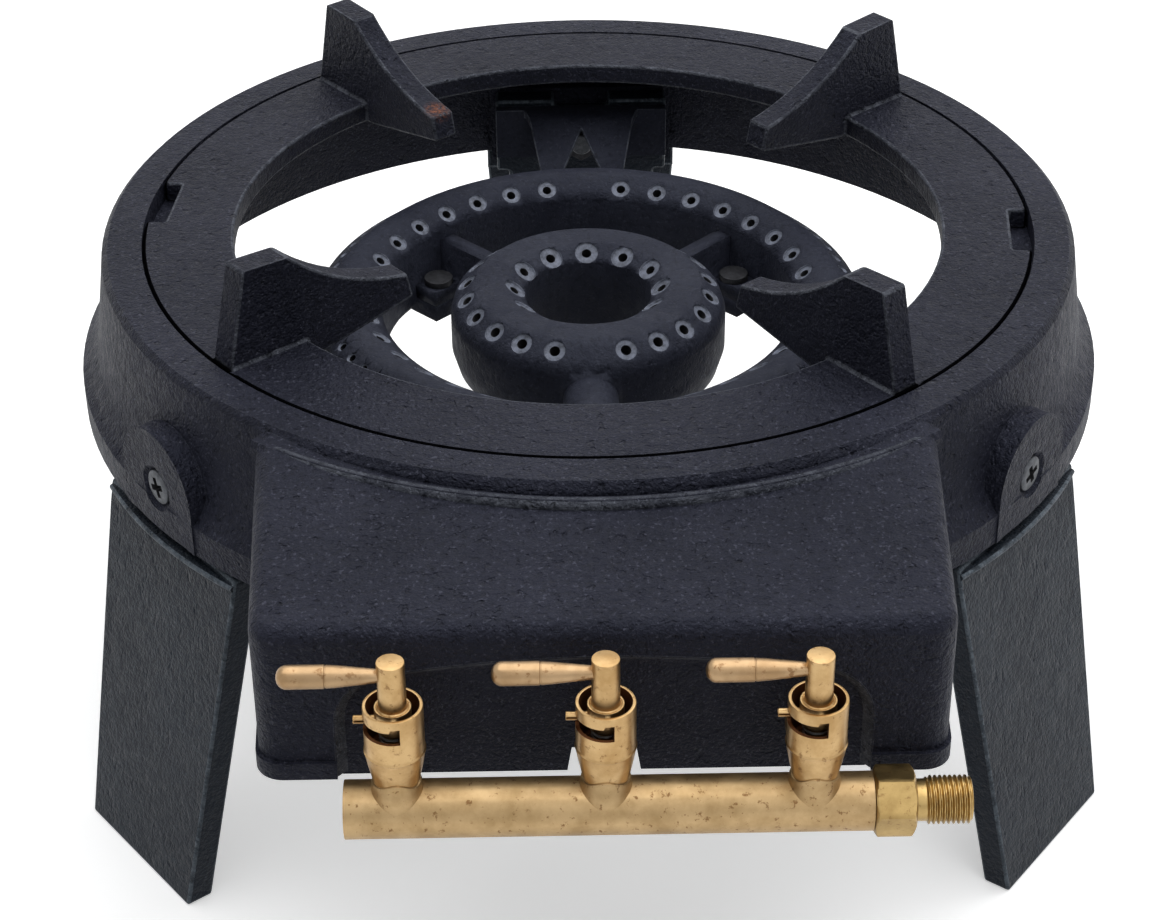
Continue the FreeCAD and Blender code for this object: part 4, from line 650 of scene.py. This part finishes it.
def housing(side):
    """Tap body: slotted barrel over a tapering root, with the neck that stands in the pipe and
    the spout that points into the box."""
    x = TAP_X[side]
    place = Matrix.Translation((x, TAP_Y, PIPE_Z))
    barrel = softened([
        (7.0, 35.4, 0.25), (8.0, 35.4, 0.35), (8.0, 21.6, 0.25), (8.3, 21.1, 0.2),
        (8.05, 20.4, 0.3), (7.3, 16.0, 1.5), (6.0, 9.6, 0.6), (5.2, 8.6, 0.4), (4.8, 8.6, 0),
        (4.8, 4.9, 0), (1.75, 4.9, 0), (1.75, 10.3, 0), (4.55, 10.3, 0), (5.55, 21.4, 0),
        (7.0, 21.4, 0)])
    bm = bmesh.new()
    # Faces inside the bore take the dark second material: painted shade.
    turned(bm, barrel, place, 56, material=lambda radius, height: int(
        10.3 < height < 21.4 and radius < 5.6 or height > 21.3 and radius < 7.1))
    slotted = finish_mesh("barrel", bm, [BRASS, BRASS_INSIDE_SHADE])
    cut(slotted, slot_tool(place))

    bm = bmesh.new()
    bm.from_mesh(slotted.data)
    bpy.data.objects.remove(slotted)
    for vertex in bm.verts:
        vertex.co /= MM
    braze(bm, place, x)
    spout = softened([(4.5, 6.0, 0), (4.5, 13.4, 0.3), (6.5, 13.4, 0.4), (6.5, 19.5, 0.4),
                      (4.5, 19.5, 0), (4.5, 27.0, 0.3), (1.75, 27.0, 0.2), (1.75, 6.0, 0)], 2)
    turned(bm, spout, along((x, TAP_Y, PIPE_Z + 12.4), (0, 1, 0)), 32)
    made = finish_mesh("tap_housing_" + side, bm, [BRASS, BRASS_INSIDE_SHADE, BRASS_TUBE], "base")
    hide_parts("tap_body_" + side)


def stem(side):
    """Stem with a lipped drum and the tongue that turns the plug."""
    place = Matrix.Translation((TAP_X[side], TAP_Y, PIPE_Z))
    outline = softened([
        (0, 49.3, 0), (3.75, 49.3, 0.35), (3.75, 34.9, 0.1), (4.2, 34.5, 0.15),
        (4.35, 34.9, 0.15), (4.9, 34.9, 0.2), (4.9, 28.2, 0.2), (2.75, 28.2, 0),
        (2.75, 23.2, 0.2), (0, 23.2, 0)])
    bm = bmesh.new()
    turned(bm, outline, place, 40, closed=False)
    skin(bm, [[bm.verts.new(place @ Vector((1.0 * x, 2.3 * y, z))) for x, y in SQUARE]
              for z in (18.6, 23.8)])
    made = finish_mesh("tap_spindle_" + side, bm, [BRASS], "knob_" + side)
    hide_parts("tap_stem_" + side)


def handle(side):
    """Turned lever: a swelling neck, a fine groove and a grip with a domed end."""
    place = along((TAP_X[side], TAP_Y, PIPE_Z + 44.9), (-1, 0, 0))
    outline = [(0, 28.9), (0.35, 29.3), (0.8, 29.55), (1.6, 29.3), (2.3, 28.85), (2.85, 28.2),
               (3.2, 27.3), (3.25, 26.2), (3.2, 17.6), (3.2, 17.1), (3.0, 16.95), (3.0, 16.75),
               (3.1, 16.6), (2.95, 14.0), (2.0, 5.0), (1.9, 4.0), (1.8, 3.75), (1.8, -1.0),
               (0, -1.0)]
    bm = bmesh.new()
    turned(bm, outline, place, 36, closed=False)
    made = finish_mesh("tap_lever_" + side, bm, [BRASS_PINK], "knob_" + side, 24)
    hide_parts("tap_handle_" + side)


def pin(side):
    """Rolled stop pin: a sleeve with a narrow split along it."""
    place = along((TAP_X[side], TAP_Y, PIPE_Z + 30.7), (-1, 0, 0))
    profile = ((0.72, 0.5), (0.72, 10.4), (0.82, 10.5), (1.08, 10.5), (1.2, 10.35), (1.2, 0.5))
    first, split, steps = 0.42, 0.55, 22
    bm = bmesh.new()
    skin(bm, [[bm.verts.new(place @ polar(radius, first + (2 * math.pi - split) * step / steps,
                                          height)) for radius, height in profile]
              for step in range(steps + 1)])
    made = finish_mesh("tap_stop_" + side, bm, [BRASS], "knob_" + side)
    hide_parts("tap_pin_" + side)


def spring(side):
    """Coil between the plug and the drum, its end turns closed. It stands 6.6 mm high from
    139.1 mm above the floor; the stem is pushed 1.4 mm, but the coil's mesh does not give way."""
    x = TAP_X[side]
    wire, radius, turns, steps = 0.35, 3.7, 5.5, 132
    low, high = 21.5 + wire, 28.1 - wire
    bm = bmesh.new()
    sections = []
    for step in range(steps + 1):
        share = step / steps
        angle = 2 * math.pi * turns * share
        climb = min(1.0, max(0.0, (share * turns - 0.75) / (turns - 1.5)))
        height = low + (high - low) * climb + 0.06 * (share - climb)
        centre = Vector((x, TAP_Y, PIPE_Z)) + polar(radius, angle, height)
        sections.append(round_section(bm, centre, outward(angle), wire, 8))
    skin(bm, sections)
    made = finish_mesh("tap_coil_" + side, bm, [SPRING], "valve_" + side)
    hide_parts("tap_spring_" + side)
    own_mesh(made)


def inlet():
    """Gas inlet: chamfered hexagon, undercut and a cut quarter-inch gas thread. Two radii in
    its profile stand for a form: `shape` turns them into the hexagon and the thread."""
    hexagon, cut_thread = 99.0, 50.0
    place = along((0, TAP_Y, PIPE_Z), (1, 0, 0))
    half_flats, start, face = 8.5, 71.2, 82.5                   # hexagon: size and ends
    thread, end, pitch, crest = 85.2, 97.5, 1.337, 6.58         # thread: ends and size
    chamfer = [(7.9 + 0.5 * k, 0.29 * k) for k in range(1, 6)]
    rings = 96
    profile = [(5.95, start - 8), (5.95, start - 0.02), (7.6, start)]
    profile += [(radius, start + depth) for radius, depth in chamfer]
    profile += [(hexagon, start + 2.2), (hexagon, face - 2.2)]
    profile += [(radius, face - depth) for radius, depth in chamfer[::-1]]
    profile += [(7.6, face), (5.7, face + 0.01), (5.7, thread - 0.02)]
    profile += [(cut_thread, thread + (end - thread) * k / rings) for k in range(rings + 1)]
    profile += [(4.4, end + 0.001), (4.0, end - 0.4), (4.0, start - 8)]
    start_of_turn = place @ Vector((1, 0, 0)) - place @ Vector((0, 0, 0))
    twist = math.atan2(start_of_turn.z, -start_of_turn.y) + math.radians(11.5)

    def shape(radius, height, angle):
        if radius == cut_thread:
            wave = ((height - thread) / pitch - angle / (2 * math.pi)) % 1.0
            tooth = min(1.0, max(0.0, abs(2 * wave - 1) * 1.55 - 0.28))
            lead = min(1.0, (height - thread) / 0.9, (end - height) / 0.7)
            return crest - 0.86 * (1 - tooth * max(0.0, lead) ** 0.5)
        if start + 0.001 < height < face - 0.001 and radius > 7.0:
            off_flat = (angle + twist) % (math.pi / 3) - math.pi / 6
            return min(radius, half_flats / math.cos(off_flat))
        return radius

    bm = bmesh.new()
    turned(bm, profile, place, 72, shape=shape)
    made = finish_mesh("inlet_union", bm, [BRASS_BRIGHT], "base", 27)
    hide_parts("gas_inlet")


bead()
arch_slope()
for side in LEG_AZIMUTHS:
    leg_brow(side)
leg_screws()
inlet()
for side in TAP_X:
    housing(side)
    stem(side)
    handle(side)
    pin(side)
    spring(side)


# --------------------------------------------------------------------------- stage
def stage():
    """White floor and surroundings that light the object less than they show, and lamps."""
    bm = bmesh.new()
    bm.faces.new([bm.verts.new((3 * x / MM, 3 * y / MM, 0)) for x, y in SQUARE])
    n = Surface("floor_pale")
    seen = n.seen()
    tone = n.mix(seen, rgba(0.26, 0.26, 0.26), rgba(0.95, 0.95, 0.95))
    pale = n.set(Base_Color=tone, Roughness=0.85, Specular_IOR_Level=0.1,
                 Emission_Color=rgba(1, 1, 1), Emission_Strength=n.fold("MULTIPLY", seen, 0.42))
    floor = finish_mesh("floor", bm, [pale])

    world = bpy.data.worlds.new("studio")
    scene.world = world
    n = Nodes(world)
    shown = n.tree.nodes["Background"]
    shown.inputs["Color"].default_value = rgba(1, 1, 1)
    shown.inputs["Strength"].default_value = 1.0
    lit = n.add("ShaderNodeBackground", {"Color": rgba(0.96, 0.98, 1.0), "Strength": 0.24})
    blend = n.add("ShaderNodeMixShader", {0: n.seen(), 1: lit.outputs[0], 2: shown.outputs[0]})
    n.feed(n.tree.nodes["World Output"].inputs["Surface"], blend.outputs[0])

    # Lamps: place and target in metres, size in metres, power in watts.
    for name, place, target, size, power in (
            ("sky", (0.10, 0.25, 1.9), (0, 0, 0), 2.6, 39.0),
            ("key", (0.9, 0.5, 1.4), (0, 0, 0.1), 0.7, 3.0),
            ("fill", (0.7, -1.5, 1.3), (0, -0.1, 0.1), 1.2, 3.0)):
        light = bpy.data.lights.new(name, "AREA")
        light.size = size
        light.energy = power
        lamp = bpy.data.objects.new(name, light)
        lamp.location = place
        aim = Vector(target) - Vector(place)
        lamp.rotation_euler = aim.to_track_quat("-Z", "Y").to_euler()
        scene.collection.objects.link(lamp)


def camera():
    """The photograph's view."""
    data = bpy.data.cameras.new("camera")
    data.sensor_width = 36.0
    data.sensor_fit = "HORIZONTAL"
    data.lens = 81.9
    data.clip_start, data.clip_end = 0.05, 20.0
    made = bpy.data.objects.new("camera", data)
    made.location = (-0.01338, -0.74155, 0.58249)
    made.rotation_euler = [math.radians(angle) for angle in (56.5946, 0.3881, -1.0220)]
    scene.collection.objects.link(made)
    scene.camera = made


camera()
stage()
scene.view_settings.view_transform = "Standard"
